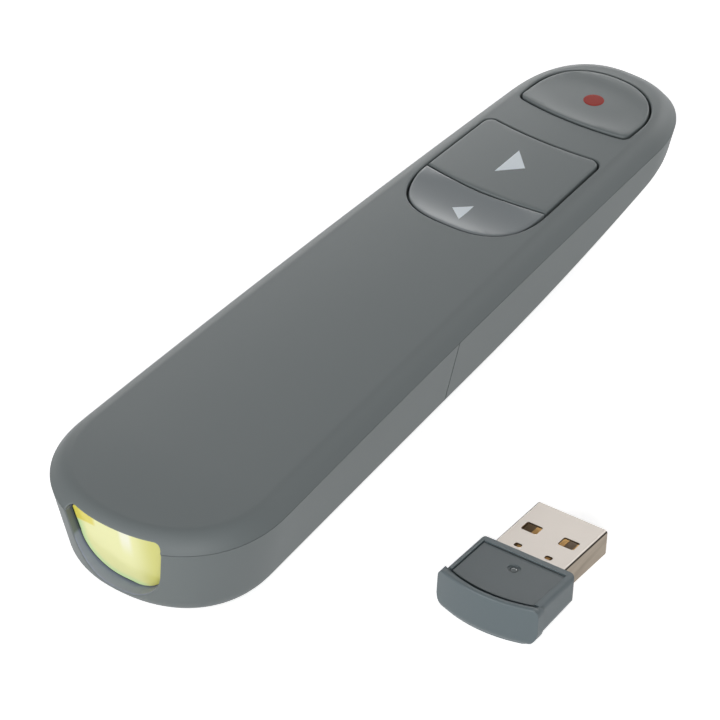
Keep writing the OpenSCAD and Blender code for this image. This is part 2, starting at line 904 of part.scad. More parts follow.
module board_slab(half, from, to) {
    at(-half, from, board_low) cube([2*half, to - from, board_thickness]);
}

module circuit_board() {
    color([0.05, 0.3, 0.15]) difference() {
        union() {
            board_slab(neck_half, board_rear, board_shoulder + tiny);
            board_slab(board_half_width, board_shoulder, front_post_station + tiny);
            board_slab(nose_share*board_half_width, front_post_station, board_front);
        }
        post(0, front_post_station, 0, tall, post_radius + 0.3);
        for (p = board_pins) post(p[0], p[1], 0, tall, pin_radius + 0.1);
    }
}

// The chip and the crystal are soldered to the board's underside.
chip_side = 6;
chip_height = 0.9;
chip_station = board_shoulder + 2.5;
module radio_chip() {
    color([0.08, 0.08, 0.09]) at(-chip_side/2, chip_station, board_low - chip_height)
        cube([chip_side, chip_side, chip_height]);
}

crystal_size = [2.5, 3.2, 0.7];
module crystal() {
    color([0.75, 0.75, 0.77])
        at(chip_side/2 + 1, rear_pin_station + stand_radius + 1, board_low - crystal_size.z)
            cube(crystal_size);
}

// ---- Laser module ----

optic_radius = 1.2;
optic_depth = 1.2;
optic_start = barrel_start + barrel_length - optic_depth - 0.3;
beam_radius = 0.7;
diode_depth = 1.6;

module along(from, to, radius, x, z) {
    at(x, to, z) rotate([90, 0, 0]) cylinder(r = radius, h = to - from);
}

module laser_barrel() {
    color([0.78, 0.6, 0.25]) difference() {
        along(barrel_start, barrel_start + barrel_length, barrel_radius, 0, laser_axis);
        along(barrel_start - 1, barrel_start + diode_depth, optic_radius + hole_gap, 0,
              laser_axis);
        along(barrel_start, barrel_start + barrel_length + 1, beam_radius, 0, laser_axis);
        along(optic_start, barrel_start + barrel_length + 1, optic_radius + hole_gap, 0,
              laser_axis);
    }
}

module laser_lens() {
    color([0.8, 0.85, 0.9])
        along(optic_start, optic_start + optic_depth, optic_radius, 0, laser_axis);
}

module laser_diode() {
    color([0.7, 0.7, 0.72]) {
        along(barrel_start, barrel_start + diode_depth, optic_radius, 0, laser_axis);
        for (x = [-0.6, 0.6]) along(barrel_start - 0.6, barrel_start + tiny, 0.2, x, laser_axis);
    }
}

// ---- Battery tray ----

// A strip along one side of the tray, sloping down towards the tail.
module runner(side) {
    length = (bay_front - bay_rear + 2*tray_wall)/cos(runner_slope);
    at(side > 0 ? tray_edge - 0.1 : -runner_edge, bay_front + tray_wall, runner_high)
        rotate([runner_slope, 0, 0]) translate([0, -length, -runner_thickness])
            cube([runner_width + 0.1, length, runner_thickness]);
}

module battery_tray() {
    color([0.12, 0.12, 0.13]) difference() {
        union() {
            difference() {
                at(-tray_edge, bay_rear - tray_wall, tray_low)
                    cube([2*tray_edge, bay_front - bay_rear + 2*tray_wall, tray_top - tray_low]);
                at(-bay_half, bay_rear, tray_low - 1)
                    cube([2*bay_half, bay_front - bay_rear, tray_ceiling - tray_low + 1]);
            }
            for (x = [-1, 1]) {
                runner(x);
                for (s = [bay_rear + saddle_rear, bay_front - saddle_front])
                    at(x*battery_pitch/2 - saddle_width/2, s, tray_ceiling - saddle_height)
                        cube([saddle_width, saddle_width, saddle_height + tray_wall]);
            }
        }
        for (s = tray_screw_stations) post(0, s, 0, tall, screw_radius + screw_clearance);
        for (side = [-1, 1])
            at(side*tab_side - tab_width/2 - tab_gap, bay_front - tray_wall, board_top - tab_gap)
                cube([tab_width + 2*tab_gap, 3*tray_wall, contact_thickness + 2*tab_gap]);
    }
}

// ---- Batteries and contacts ----

// end is 1 for a nub at the laser end and -1 for a nub at the tail.
module battery(x, from, end) {
    can = battery_length - nub_length;
    can_from = end > 0 ? from : from + nub_length;
    along(can_from, can_from + can, battery_radius, x, battery_axis);
    along(end > 0 ? from + can - tiny : from, end > 0 ? from + battery_length : from + nub_length
          + tiny, nub_radius, x, battery_axis);
}

plate_front = bay_front - contact_thickness;
plate_rear = bay_rear + contact_thickness;
left_from = plate_front - battery_length;
right_from = plate_rear;
plate_half = 4;
tab_side = 4;
tab_width = 2.4;
tab_gap = 0.15;
tab_reach = 2;

module left_battery() {
    color([0.75, 0.5, 0.2]) battery(-battery_pitch/2, left_from, 1);
}
module right_battery() {
    color([0.75, 0.5, 0.2]) battery(battery_pitch/2, right_from, -1);
}

module bridge_contact() {
    color([0.75, 0.75, 0.77])
        at(-battery_pitch/2 - plate_half, bay_rear, battery_axis - plate_half)
            cube([battery_pitch + 2*plate_half, contact_thickness, 2*plate_half]);
}

// A front plate, with the tab that runs through the tray's wall onto the board.
module front_plate(side) {
    at(side*battery_pitch/2 - plate_half, plate_front, battery_axis - plate_half)
        cube([2*plate_half, contact_thickness, 2*plate_half]);
    at(side*tab_side - tab_width/2, plate_front, board_top)
        cube([tab_width, board_rear + tab_reach - plate_front, contact_thickness]);
}
module positive_contact() { color([0.75, 0.75, 0.77]) front_plate(-1); }
module negative_contact() { color([0.75, 0.75, 0.77]) front_plate(1); }

// A conical coil from radius wide to radius narrow over the given length.
coil_turns = 4;
coil_steps = 8;
coil_sides = 6;
module coil(wide, narrow, length) {
    total = coil_turns*coil_steps;
    points = [for (i = [0:total], j = [0:coil_sides - 1])
        let (t = i/total, r = wide + (narrow - wide)*t, a = 360*coil_turns*t,
             b = 360*j/coil_sides, q = r + spring_wire*cos(b))
        [q*cos(a), q*sin(a), spring_wire + (length - 2*spring_wire)*t + spring_wire*sin(b)]];
    polyhedron(points = points, faces = concat(
        [[for (j = [0:coil_sides - 1]) j]],
        [for (i = [0:total - 1], j = [0:coil_sides - 1])
            let (a = i*coil_sides + j, b = i*coil_sides + (j + 1) % coil_sides)
            each [[a, a + coil_sides, b + coil_sides], [a, b + coil_sides, b]]],
        [[for (j = [coil_sides - 1:-1:0]) total*coil_sides + j]]));
}

spring_wide = 3.4;
spring_narrow = 2.2;
module rear_spring() {
    color([0.8, 0.8, 0.82]) at(-battery_pitch/2, plate_rear, battery_axis)
        rotate([-90, 0, 0]) coil(spring_wide, spring_narrow, spring_length);
}
module front_spring() {
    color([0.8, 0.8, 0.82]) at(battery_pitch/2, plate_front, battery_axis)
        rotate([90, 0, 0]) coil(spring_wide, spring_narrow, spring_length);
}

// ---- Screws as nodes ----

module case_screws() {
    color([0.55, 0.55, 0.57]) for (p = case_posts) at(p[0], p[1], p[2])
        screw(case_screw_length);
}
module tray_screws() {
    color([0.55, 0.55, 0.57]) for (s = tray_screw_stations) at(0, s, tray_ceiling)
        screw(tray_wall + tray_screw_bite);
}

// ---- Receiver ----
// Drawn with the plug's tip at the origin, its bottom at height 0 and the
// housing towards -Y, then laid down on the tip and on the grip's lower edge.

grip_end = plug_length + housing_length + grip_thickness;
grip_centre = -grip_end + grip_arc;
grip_corner = 2.8;
grip_shoulder = 1.4;
grip_heel = -grip_centre + sqrt(pow(grip_arc - grip_thickness, 2)
    - pow(grip_width/2 - grip_corner, 2));
receiver_tilt = asin(grip_below/grip_heel);
rim_z = plug_height + housing_above;
housing_floor = housing_wall - housing_below;

module laid_down() {
    at(receiver_side, receiver_station, 0) rotate([-receiver_tilt, 0, receiver_turn]) children();
}

module grip_drum(radius, low, high) {
    translate([0, grip_centre, low]) intersection() {
        cylinder(r = radius, h = high - low, $fn = 96);
        translate([-tall, -tall, 0]) cube([2*tall, tall, high - low]);
    }
}

// The grip's curved face, with a wide round along its foot.
module soft_drum() {
    high = rim_z + grip_lift;
    foot = [for (a = [0:15:90])
        [grip_arc - grip_edge*(1 - sin(a)), grip_edge*(1 - cos(a)) - grip_below]];
    brow = [for (a = [90:-15:0])
        [grip_arc - grip_top_edge*(1 - sin(a)), high - grip_top_edge*(1 - cos(a))]];
    translate([0, grip_centre, 0])
        rotate_extrude($fn = 144) polygon(concat([[0, -grip_below]], foot, brow, [[0, high]]));
}

housing_corner = 1.1;
housing_foot = 2;
housing_side_corner = 0.8;
plug_corner = 0.5;

// A rounded rectangle in X and Z, run in Y.
module receiver_bar(from, to, width, low, high, corner) {
    translate([0, to, 0]) rotate([90, 0, 0]) linear_extrude(to - from)
        rounded_rect(width, low, high, corner);
}

// The housing deepens towards the grip, so that it lies flat, and its lower
// corners are wider than its upper ones.
module housing_block() {
    intersection() {
        receiver_bar(-grip_end, -plug_length, housing_width, -tall, rim_z, housing_corner);
        translate([0, -plug_length, -housing_below]) rotate([receiver_tilt, 0, 0])
            receiver_bar(-grip_end, tall, housing_width, 0, tall, housing_foot);
        translate([0, 0, -tall]) linear_extrude(2*tall)
            rounded_rect(housing_width, -2*grip_end, -plug_length, housing_side_corner);
    }
}

// The grip's outline, with shoulders at the top and wide lower corners.
module grip_block() {
    intersection() {
        receiver_bar(-grip_end, -plug_length, grip_width, -tall, rim_z + grip_lift, grip_shoulder);
        receiver_bar(-grip_end, -plug_length, grip_width, -grip_below, tall, grip_corner);
    }
}

module lid_space(gap, low) {
    intersection() {
        translate([-housing_width/2 + housing_corner + gap, -grip_end, low])
            cube([housing_width - 2*housing_corner - 2*gap,
                  grip_end - plug_length - housing_wall - gap, tall]);
        grip_drum(grip_arc - grip_thickness - lid_border - gap, -tall, tall);
    }
}

lid_thickness = 0.7;
lid_border = 0.15;
lid_low = rim_z - lid_recess - lid_thickness;
grip_lift = 0.3;
grip_edge = 1.5;
grip_top_edge = 0.4;
grip_groove = 0.25;
plug_clearance = 0.05;
board_margin = 0.6;
module receiver_housing() {
    color([0.36, 0.42, 0.44]) laid_down() difference() {
        union() {
            intersection() {
                housing_block();
                grip_drum(grip_arc - grip_thickness/2, -tall, tall);
            }
            difference() {
                intersection() {
                    grip_block();
                    soft_drum();
                }
                grip_drum(grip_arc - grip_thickness, -tall, tall);
            }
        }
        difference() {
            grip_drum(grip_arc - grip_thickness, rim_z - grip_groove, tall);
            grip_drum(grip_arc - grip_thickness - grip_groove, -tall, tall);
        }
        lid_space(0, lid_low);
        intersection() {
            translate([-plug_width/2 - board_margin, -grip_end, housing_floor])
                cube([plug_width + 2*board_margin,
                      housing_length + grip_thickness - housing_wall, tall]);
            grip_drum(grip_arc - grip_thickness - housing_wall, -tall, tall);
        }
        receiver_bar(-plug_length - 3*housing_wall, 1, plug_width + 2*plug_clearance,
                     -plug_clearance, plug_height + plug_clearance, plug_corner);
    }
}

module receiver_lid() {
    color([0.3, 0.35, 0.37]) laid_down() difference() {
        intersection() {
            lid_space(lid_gap, lid_low);
            translate([-tall, -tall, lid_low]) cube([2*tall, tall, rim_z - lid_recess - lid_low]);
        }
        translate([0, -light_place, -1]) cylinder(r = light_radius + hole_gap, h = tall);
        translate([0, -light_place, rim_z - lid_recess - light_dimple])
            cylinder(r = light_bowl, h = tall);
    }
}

// The light pipe stands in the lid's hole, with a domed top in a shallow bowl.
light_offset = 4;
light_place = plug_length + light_offset;
light_radius = 0.6;
light_bowl = 1;
light_dimple = 0.2;
light_dome = 0.8;
module receiver_light() {
    rise = lid_low + lid_thickness - 2*light_dimple;
    color([0.6, 0.65, 0.68]) laid_down() intersection() {
        translate([0, -light_place, lid_low - light_dimple])
            cylinder(r = light_radius, h = tall);
        union() {
            translate([0, -light_place, lid_low - 1]) cylinder(r = light_bowl, h = rise - lid_low + 1);
            translate([0, -light_place, lid_low + lid_thickness - light_dome]) sphere(light_dome);
        }
    }
}

slot_side = 3.15;
slot_near = 5.1;
slot_length = 2.1;
slot_width = 2.7;
notch_side = 2.6;
notch_near = 10.4;
notch_length = 0.9;
notch_width = 1.2;
plug_root = plug_length + housing_wall;
tongue_root = plug_root + 1.4;
module usb_shell() {
    color([0.8, 0.78, 0.75]) laid_down() difference() {
        receiver_bar(-plug_root, 0, plug_width, 0, plug_height, plug_corner);
        receiver_bar(-tall, 1, plug_width - 2*plug_metal, plug_metal, plug_height - plug_metal,
                     plug_corner - plug_metal);
        for (x = [-1, 1]) {
            translate([x*slot_side - slot_width/2, -slot_near - slot_length, -1])
                cube([slot_width, slot_length, tall]);
            translate([x*notch_side - notch_width/2, -notch_near - notch_length, plug_height - 1])
                cube([notch_width, notch_length, tall]);
        }
    }
}

tongue_top = 2.35;
tongue_gap = 0.1;
tongue_inset = 0.5;
module usb_tongue() {
    low = plug_metal + tongue_gap/2;
    color([0.1, 0.1, 0.11]) laid_down()
        translate([-plug_width/2 + plug_metal + tongue_gap, -tongue_root, low])
            cube([plug_width - 2*plug_metal - 2*tongue_gap, tongue_root - tongue_inset,
                  tongue_top - low]);
}

// The two outer strips and the two inner ones.
strip_places = [-3.5, -1, 1, 3.5];
strip_width = 1;
strip_thickness = 0.12;
strip_inset = 1.5;
module usb_contacts() {
    color([0.85, 0.65, 0.25]) laid_down() for (x = strip_places)
        translate([x - strip_width/2, -tongue_root, tongue_top])
            cube([strip_width, tongue_root - strip_inset, strip_thickness]);
}

slab_thickness = 0.8;
slab_space = 0.1;
slab_end = 2.2;
module receiver_board() {
    color([0.05, 0.3, 0.15]) laid_down()
        translate([-plug_width/2 + board_margin, -grip_end + grip_thickness + slab_end,
                   housing_floor + slab_space])
            cube([plug_width - 2*board_margin, grip_end - grip_thickness - slab_end
                  - tongue_root - slab_space, slab_thickness]);
}

receiver_chip_size = [5, 4, 0.9];
module receiver_chip() {
    color([0.08, 0.08, 0.09]) laid_down()
        translate([-receiver_chip_size.x/2, -tongue_root - receiver_chip_size.y - 1.6,
                   housing_floor + slab_space + slab_thickness])
            cube(receiver_chip_size);
}

// ---- Assembly ----

top_cover();
front_shell();
battery_door();
tail_lens();
laser_window();
next_key();
back_key();
laser_key();
next_plunger();
back_plunger();
laser_plunger();
next_switch();
back_switch();
laser_switch();
circuit_board();
radio_chip();
crystal();
laser_barrel();
laser_lens();
laser_diode();
battery_tray();
left_battery();
right_battery();
bridge_contact();
positive_contact();
negative_contact();
rear_spring();
front_spring();
case_screws();
tray_screws();
receiver_housing();
receiver_lid();
receiver_light();
usb_shell();
usb_tongue();
usb_contacts();
receiver_board();
receiver_chip();
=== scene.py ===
# %% [markdown]
# # A presentation clicker and its USB receiver
#
# The object is a hand-held remote for slide shows: a grey moulded body with three
# keys and a yellow lens in its tail, and a small USB receiver lying beside it. Its
# imported model is already correct in size and motion. Here it gets the looks: smooth
# casings with soft edges, printed marks, and a finish for every piece.
#
# The first cell loads the imported model as a fixed frame.

# %% Load the frame
import bpy
import math
import numpy as np
from contextlib import contextmanager
from mathutils import Matrix, Vector
from math import cos, sin, tan, sqrt, radians


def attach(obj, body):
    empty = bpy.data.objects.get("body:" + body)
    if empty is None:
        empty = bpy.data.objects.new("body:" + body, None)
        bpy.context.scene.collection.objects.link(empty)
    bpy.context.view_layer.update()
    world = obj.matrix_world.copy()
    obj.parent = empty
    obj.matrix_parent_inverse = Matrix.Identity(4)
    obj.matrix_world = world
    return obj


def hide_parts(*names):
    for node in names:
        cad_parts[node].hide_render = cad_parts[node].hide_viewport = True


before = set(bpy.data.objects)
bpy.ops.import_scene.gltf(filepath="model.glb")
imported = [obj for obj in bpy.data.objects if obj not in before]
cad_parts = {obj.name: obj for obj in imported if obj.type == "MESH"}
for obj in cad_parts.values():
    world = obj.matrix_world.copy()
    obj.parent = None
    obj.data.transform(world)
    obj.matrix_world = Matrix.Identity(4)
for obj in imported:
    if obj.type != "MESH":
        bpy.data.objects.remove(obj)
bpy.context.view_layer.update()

# %% [markdown]
# ## Camera, floor and light
#
# The camera stands past the tail and on its right, three quarters of a metre away, and
# looks down at about 39 degrees. Its lens is a long one, which hardly makes lines
# converge, so the keys and the outline keep their true proportions.

# %% Camera
MM = 0.001
LENS_MM = 250
SENSOR_MM = 36
CAMERA_PLACE = Vector((0.3409, -0.4881, 0.4778))
CAMERA_HEADING = Vector((-0.5784, 0.8157, 0))
CAMERA_DIP = radians(38.72)

view_line = CAMERA_HEADING * cos(CAMERA_DIP) - Vector((0, 0, sin(CAMERA_DIP)))
lens = bpy.data.cameras.new("studio_camera")
lens.lens = LENS_MM
lens.sensor_width = SENSOR_MM
camera = bpy.data.objects.new("studio_camera", lens)
bpy.context.scene.collection.objects.link(camera)
camera.location = CAMERA_PLACE
camera.rotation_euler = view_line.to_track_quat("-Z", "Y").to_euler()
bpy.context.scene.camera = camera
bpy.context.scene.view_settings.view_transform = "Standard"
print("camera looks along", [round(c, 3) for c in view_line])

# %% [markdown]
# Shader maths reads best as plain arithmetic. The small class below wraps a socket of
# a node, so that `mask * 0.5` or `1 - mask` adds the Math node that it stands for.
# `node` adds any other node: its settings come first, then its inputs by name, or by
# their number, as in `i0`, where inputs share a name.

# %% Shader maths
class Wire:
    """A socket that can be used in Python arithmetic."""

    def __init__(self, tree, socket):
        self.tree, self.socket = tree, socket

    def node(self, kind, settings=None, out=0, **inputs):
        made = self.tree.nodes.new(kind)
        for key, value in (settings or {}).items():
            setattr(made, key, value)
        for key, value in inputs.items():
            numbered = key[0] == "i" and key[1:].isdigit()
            plug(self.tree, made.inputs[int(key[1:]) if numbered else key.replace("_", " ")], value)
        return Wire(self.tree, made.outputs[out])

    def math(self, operation, *values):
        made = self.tree.nodes.new("ShaderNodeMath")
        made.operation = operation
        for slot, value in zip(made.inputs, values):
            plug(self.tree, slot, value)
        return Wire(self.tree, made.outputs[0])

    def __add__(self, other):
        return self.math("ADD", self, other)

    def __sub__(self, other):
        return self.math("SUBTRACT", self, other)

    def __rsub__(self, other):
        return self.math("SUBTRACT", other, self)

    def __mul__(self, other):
        return self.math("MULTIPLY", self, other)

    def __truediv__(self, other):
        return self.math("DIVIDE", self, other)

    def __pow__(self, other):
        return self.math("POWER", self, other)

    __radd__, __rmul__ = __add__, __mul__


def plug(tree, socket, value):
    """Links a wire to a socket, or sets the socket to a number, a vector or a colour."""
    if isinstance(value, Wire):
        tree.links.new(value.socket, socket)
    elif socket.type == "RGBA":
        socket.default_value = (*value, 1)
    else:
        socket.default_value = value


print("shader maths is ready")

# %% [markdown]
# A material starts as one shader with constant values, made by `finish`. Where a value
# changes over the surface, `feed` puts a wire in its place. `reopened` goes back to a
# material that is made, to lay something over its colour. `coordinate` says where on the
# piece a point is, and `rise` turns such a distance into a soft mask.

# %% Material helpers
def paint(r, g, b):
    """A colour given as it looks on screen, 0 to 255, as the linear colour that shaders use."""
    def linear(c):
        c = c / 255
        return c / 12.92 if c <= 0.04045 else ((c + 0.055) / 1.055) ** 2.4
    return (linear(r), linear(g), linear(b))


def finish(name, colour, roughness, **fixed):
    """A new material. Returns it, its shader and a Wire of the Object coordinates."""
    made = bpy.data.materials.new(name)
    made.use_nodes = True
    shader = made.node_tree.nodes["Principled BSDF"]
    for key, value in {"Base_Color": colour, "Roughness": roughness, **fixed}.items():
        plug(made.node_tree, shader.inputs[key.replace("_", " ")], value)
    place = made.node_tree.nodes.new("ShaderNodeTexCoord").outputs["Object"]
    return made, shader, Wire(made.node_tree, place)


def reopened(made):
    """The shader of a finished material, with Wires of its colour and its Object coordinates."""
    tree = made.node_tree
    shader = tree.nodes["Principled BSDF"]
    colour = shader.inputs["Base Color"].links[0].from_socket
    place = tree.nodes["Texture Coordinate"].outputs["Object"]
    return shader, Wire(tree, colour), Wire(tree, place)


def feed(shader, socket, wire):
    shader.id_data.links.new(wire.socket, shader.inputs[socket])


def mix(factor, first, second):
    """A colour between two colours."""
    return factor.node("ShaderNodeMix", {"data_type": "RGBA"}, out=2, i0=factor, i6=first, i7=second)


def noise(place, scale, detail=2):
    return place.node("ShaderNodeTexNoise", Vector=place, Scale=scale, Detail=detail)


def rise(wire, start, end):
    """0 before the start, 1 after the end, and smooth between them."""
    return wire.node("ShaderNodeMapRange", {"interpolation_type": "SMOOTHSTEP"},
                     Value=wire, From_Min=start, From_Max=end)


def coordinate(place, axis):
    """One coordinate of a place, in millimetres."""
    return place.node("ShaderNodeSeparateXYZ", out=axis, Vector=place) / MM


print("material helpers are ready")

# %% [markdown]
# The floor is white paper and the world round it is white too. Both are pure white only
# for the camera and in reflections, through Light Path, so they don't flood the object
# with light. The floor still takes the object's shadow.

# %% Floor and world
FLOOR_SIZE = 3.0
FLOOR_GAP = 0.00002
FLOOR_WHITE = 0.85
FLOOR_GLOW = 0.72
FIBRE_SCALE, PAPER_ROUGHNESS, PAPER_SPREAD = 400, 0.85, 0.1
WORLD_FILL = 0.15


def shown(tree):
    """1 for what is seen directly, in a reflection or through glass, and 0 for the rest."""
    rays = tree.nodes.new("ShaderNodeLightPath")
    camera_ray, glossy, through = [Wire(tree, rays.outputs[f"Is {kind} Ray"])
                                   for kind in ("Camera", "Glossy", "Transmission")]
    return camera_ray.math("MAXIMUM", camera_ray.math("MAXIMUM", camera_ray, glossy), through)


bpy.ops.object.select_all(action="DESELECT")
bpy.ops.mesh.primitive_plane_add(size=FLOOR_SIZE, location=(0, 0, -FLOOR_GAP))
floor = bpy.context.object
floor.name = "paper_floor"

paper, paper_shader, paper_place = finish("white_paper", (FLOOR_WHITE,) * 3, PAPER_ROUGHNESS)
feed(paper_shader, "Roughness", PAPER_ROUGHNESS + noise(paper_place, FIBRE_SCALE) * PAPER_SPREAD)
glow = paper_place.node("ShaderNodeEmission", Color=(1, 1, 1), Strength=FLOOR_GLOW)
plain_paper = Wire(glow.tree, paper_shader.outputs[0])
both = glow.node("ShaderNodeAddShader", i0=plain_paper, i1=glow)
lit_paper = glow.node("ShaderNodeMixShader", i0=shown(glow.tree), i1=plain_paper, i2=both)
glow.tree.links.new(lit_paper.socket, glow.tree.nodes["Material Output"].inputs["Surface"])
floor.data.materials.append(paper)

world = bpy.data.worlds.new("studio")
bpy.context.scene.world = world
world.use_nodes = True
sky = world.node_tree
background = sky.nodes["Background"]
plug(sky, background.inputs["Strength"], shown(sky) * (1 - WORLD_FILL) + WORLD_FILL)
plug(sky, background.inputs["Color"], (1, 1, 1))
print("floor", FLOOR_SIZE, "m, world fill", WORLD_FILL)

# %% [markdown]
# Soft lamps stand in a ring round the object, all at the same distance and aimed at its
# middle, so each is placed by two angles, as on a studio floor. Three low ones, past the
# laser end and on its left, rake over the top and show its hollows. Two stronger ones,
# past the tail and on its right, light the leaning sides and the lens.

# %% Lamps
LAMP_DISTANCE = 0.75
LAMP_TARGET = Vector((0, 0, 0.01))
LAMPS = {  # degrees round from +X, degrees up, size in metres, watts
    "nose_lamp": (80, 20, 0.35, 1.5),
    "corner_lamp": (118, 12, 0.25, 0.8),
    "left_lamp": (140, 15, 0.25, 0.85),
    "side_lamp": (-55, 20, 0.35, 2.5),
    "tail_lamp": (-110, 22, 0.35, 1.8),
}


def soft_lamp(name, azimuth, elevation, size, power):
    light = bpy.data.lights.new(name, "AREA")
    light.size = size
    light.energy = power
    lamp = bpy.data.objects.new(name, light)
    bpy.context.scene.collection.objects.link(lamp)
    level = LAMP_DISTANCE * cos(radians(elevation))
    lamp.location = (level * cos(radians(azimuth)), level * sin(radians(azimuth)),
                     LAMP_DISTANCE * sin(radians(elevation)))
    lamp.rotation_euler = (LAMP_TARGET - lamp.location).to_track_quat("-Z", "Y").to_euler()


for name, values in LAMPS.items():
    soft_lamp(name, *values)
print("lamps:", list(LAMPS))

# %% [markdown]
# ## Finishes
#
# The casing has a soft-touch paint: a matt grey with a hint of blue-green. It is not a flat colour.
# A fine grain breaks up its shine, and its tone drifts slightly. The same recipe, with other values,
# serves every moulded piece: the keys are a little smoother, the back key is smoother still and
# painted paler, as painted light for its sheen, the receiver is darker, and the laser's window is
# smooth.

# %% Casing finishes
TONE_SCALE, TONE_DETAIL = 35, 3
GRAIN_SCALE, GRAIN_DISTANCE = 9000, 0.00003
SHINE_SPREAD = 0.08
CASING_PAINT = {"colour": paint(103, 110, 111), "roughness": 0.52, "grain": 0.25, "drift": 0.035}


def grained(name, colour, roughness, drift, grain=0.02, **fixed):
    """A moulded or painted plastic with a fine grain and a slow drift of tone."""
    made, shader, place = finish(name, colour, roughness, **fixed)
    darker = tuple(c * (1 - drift) for c in colour)
    lighter = tuple(c * (1 + drift) for c in colour)
    feed(shader, "Base Color", mix(noise(place, TONE_SCALE, TONE_DETAIL), darker, lighter))
    speck = noise(place, GRAIN_SCALE)
    feed(shader, "Roughness", roughness - SHINE_SPREAD / 2 + speck * SHINE_SPREAD)
    feed(shader, "Normal", place.node("ShaderNodeBump", Height=speck, Strength=grain,
                                      Distance=GRAIN_DISTANCE))
    return made


soft_grey = grained("soft_grey", **CASING_PAINT)
key_grey = grained("key_grey", paint(103, 110, 111), 0.5, grain=0.18, drift=0.03)
# the back key is painted paler: painted light for the sheen of its smoother plastic
back_grey_painted_light = grained("back_grey_painted_light", paint(126, 132, 135), 0.4, grain=0.12, drift=0.03)
receiver_grey = grained("receiver_grey", paint(92, 103, 107), 0.42, grain=0.25, drift=0.04)
lid_grey = grained("lid_grey", paint(82, 91, 94), 0.42, grain=0.25, drift=0.04)
light_grey = grained("light_grey", paint(88, 95, 97), 0.2, grain=0, drift=0.03, Coat_Weight=0.35)
inner_black = grained("inner_black", paint(38, 38, 40), 0.5, drift=0.1)
window_smoke = grained("window_smoke", paint(28, 27, 30), 0.12, grain=0, drift=0.05, Coat_Weight=1)
chip_black = grained("chip_black", paint(30, 31, 33), 0.45, drift=0.15)
board_green = grained("board_green", paint(22, 84, 48), 0.35, drift=0.12, Coat_Weight=0.6)
print("plastics are ready")

# %% [markdown]
# ## The casing
#
# The body is a moulded casing with no flat face to start from. Its outline is two
# straight, slightly converging sides between two squarish round ends, and its section
# changes all the way. So it isn't carved from a block. A grid is added, and each of its
# rows is laid along one closed ring of the casing, which is how a loft is made by hand.
# The rings come from the same few sizes as the construction, in millimetres. Widths and
# heights are formulas of the station, which is the distance from the tail.

# %% Sizes of the casing
BODY_LENGTH = 139
ORIGIN_STATION = 70
TAIL_HALF_WIDTH, FRONT_HALF_WIDTH = 19.35, 13.35
TAIL_CAP, TAIL_POWER = 18.7, 2.15
FRONT_CAP, FRONT_POWER = 16.5, 2.37
SEAM_TAIL, SEAM_FRONT, SEAM_ARCH, SEAM_GAP = 13.7, 13.0, 1.2, 0.08
EDGE_RISE, EDGE_RUN, CROWN = 2.7, 3.5, 0.5
DRAFT, BASE_RADIUS = 12, 4
BOW_LENGTH, BOW_RISE = 63, 7.9
WALL = 1.5
DOOR_STATION, DOOR_GAP = 65, 0.25
BOW_START = BODY_LENGTH - BOW_LENGTH
STRAIGHT_END = BODY_LENGTH - FRONT_CAP


def cap(t, power):
    """The round end of an outline: 1 where it starts, and 0 at its tip."""
    return 1 if t <= 0 else max(0, 1 - t ** power) ** (1 / power)


def half_width(s):
    taper = TAIL_HALF_WIDTH + (FRONT_HALF_WIDTH - TAIL_HALF_WIDTH) * s / BODY_LENGTH
    return (taper * cap((TAIL_CAP - s) / TAIL_CAP, TAIL_POWER)
            * cap((s - STRAIGHT_END) / FRONT_CAP, FRONT_POWER))


def seam_z(s):
    """Height of the parting line, which arches a little."""
    u = s / BODY_LENGTH
    return SEAM_TAIL + (SEAM_FRONT - SEAM_TAIL) * u + SEAM_ARCH * 4 * u * (1 - u)


def top_z(s):
    """Height of the cover along its middle."""
    return seam_z(s) + EDGE_RISE + CROWN


def base_z(s):
    """Height of the underside, which bows up towards the laser end."""
    return BOW_RISE * (np.maximum(s - BOW_START, 0) / BOW_LENGTH) ** 2


TAIL_STEPS, SIDE_STEPS, FRONT_STEPS = 34, 44, 28
turn = [radians(90 * i / TAIL_STEPS) for i in range(TAIL_STEPS)]
right_side = [TAIL_CAP * (1 - cos(a)) for a in turn]
right_side += list(np.linspace(TAIL_CAP, STRAIGHT_END, SIDE_STEPS, endpoint=False))
right_side += [BODY_LENGTH - FRONT_CAP * (1 - cos(radians(90 * i / FRONT_STEPS)))
               for i in range(FRONT_STEPS, -1, -1)]
left_side = right_side[-2:0:-1]
stations = np.array(right_side + left_side)
signs = np.array([1] * len(right_side) + [-1] * len(left_side))
outline = np.stack([signs * [half_width(s) for s in stations], stations], 1)
tangents = np.roll(outline, -1, 0) - np.roll(outline, 1, 0)
outwards = np.stack([tangents[:, 1], -tangents[:, 0]], 1) / np.linalg.norm(tangents, axis=1)[:, None]
print("outline points:", len(outline), "widest", round(2 * outline[:, 0].max(), 2), "mm")

# %% [markdown]
# A ring is the outline moved inwards, and perhaps drawn towards the middle, at a height
# that follows the stations. Rings of the cover draw towards a short centre line between
# the two round ends, so the top has no crease. Rings of the base draw straight across.

# %% Rings
def ring(inset, height, share=1.0, across=False):
    """The outline moved inwards, and drawn towards the middle unless the share is 1."""
    flat = outline - np.broadcast_to(inset, len(outline))[:, None] * outwards
    middle = flat[:, 1] if across else np.clip(flat[:, 1], TAIL_CAP, STRAIGHT_END)
    x = flat[:, 0] * share
    y = middle + share * (flat[:, 1] - middle)
    return np.stack([x, y - ORIGIN_STATION, np.broadcast_to(height, len(x))], 1)


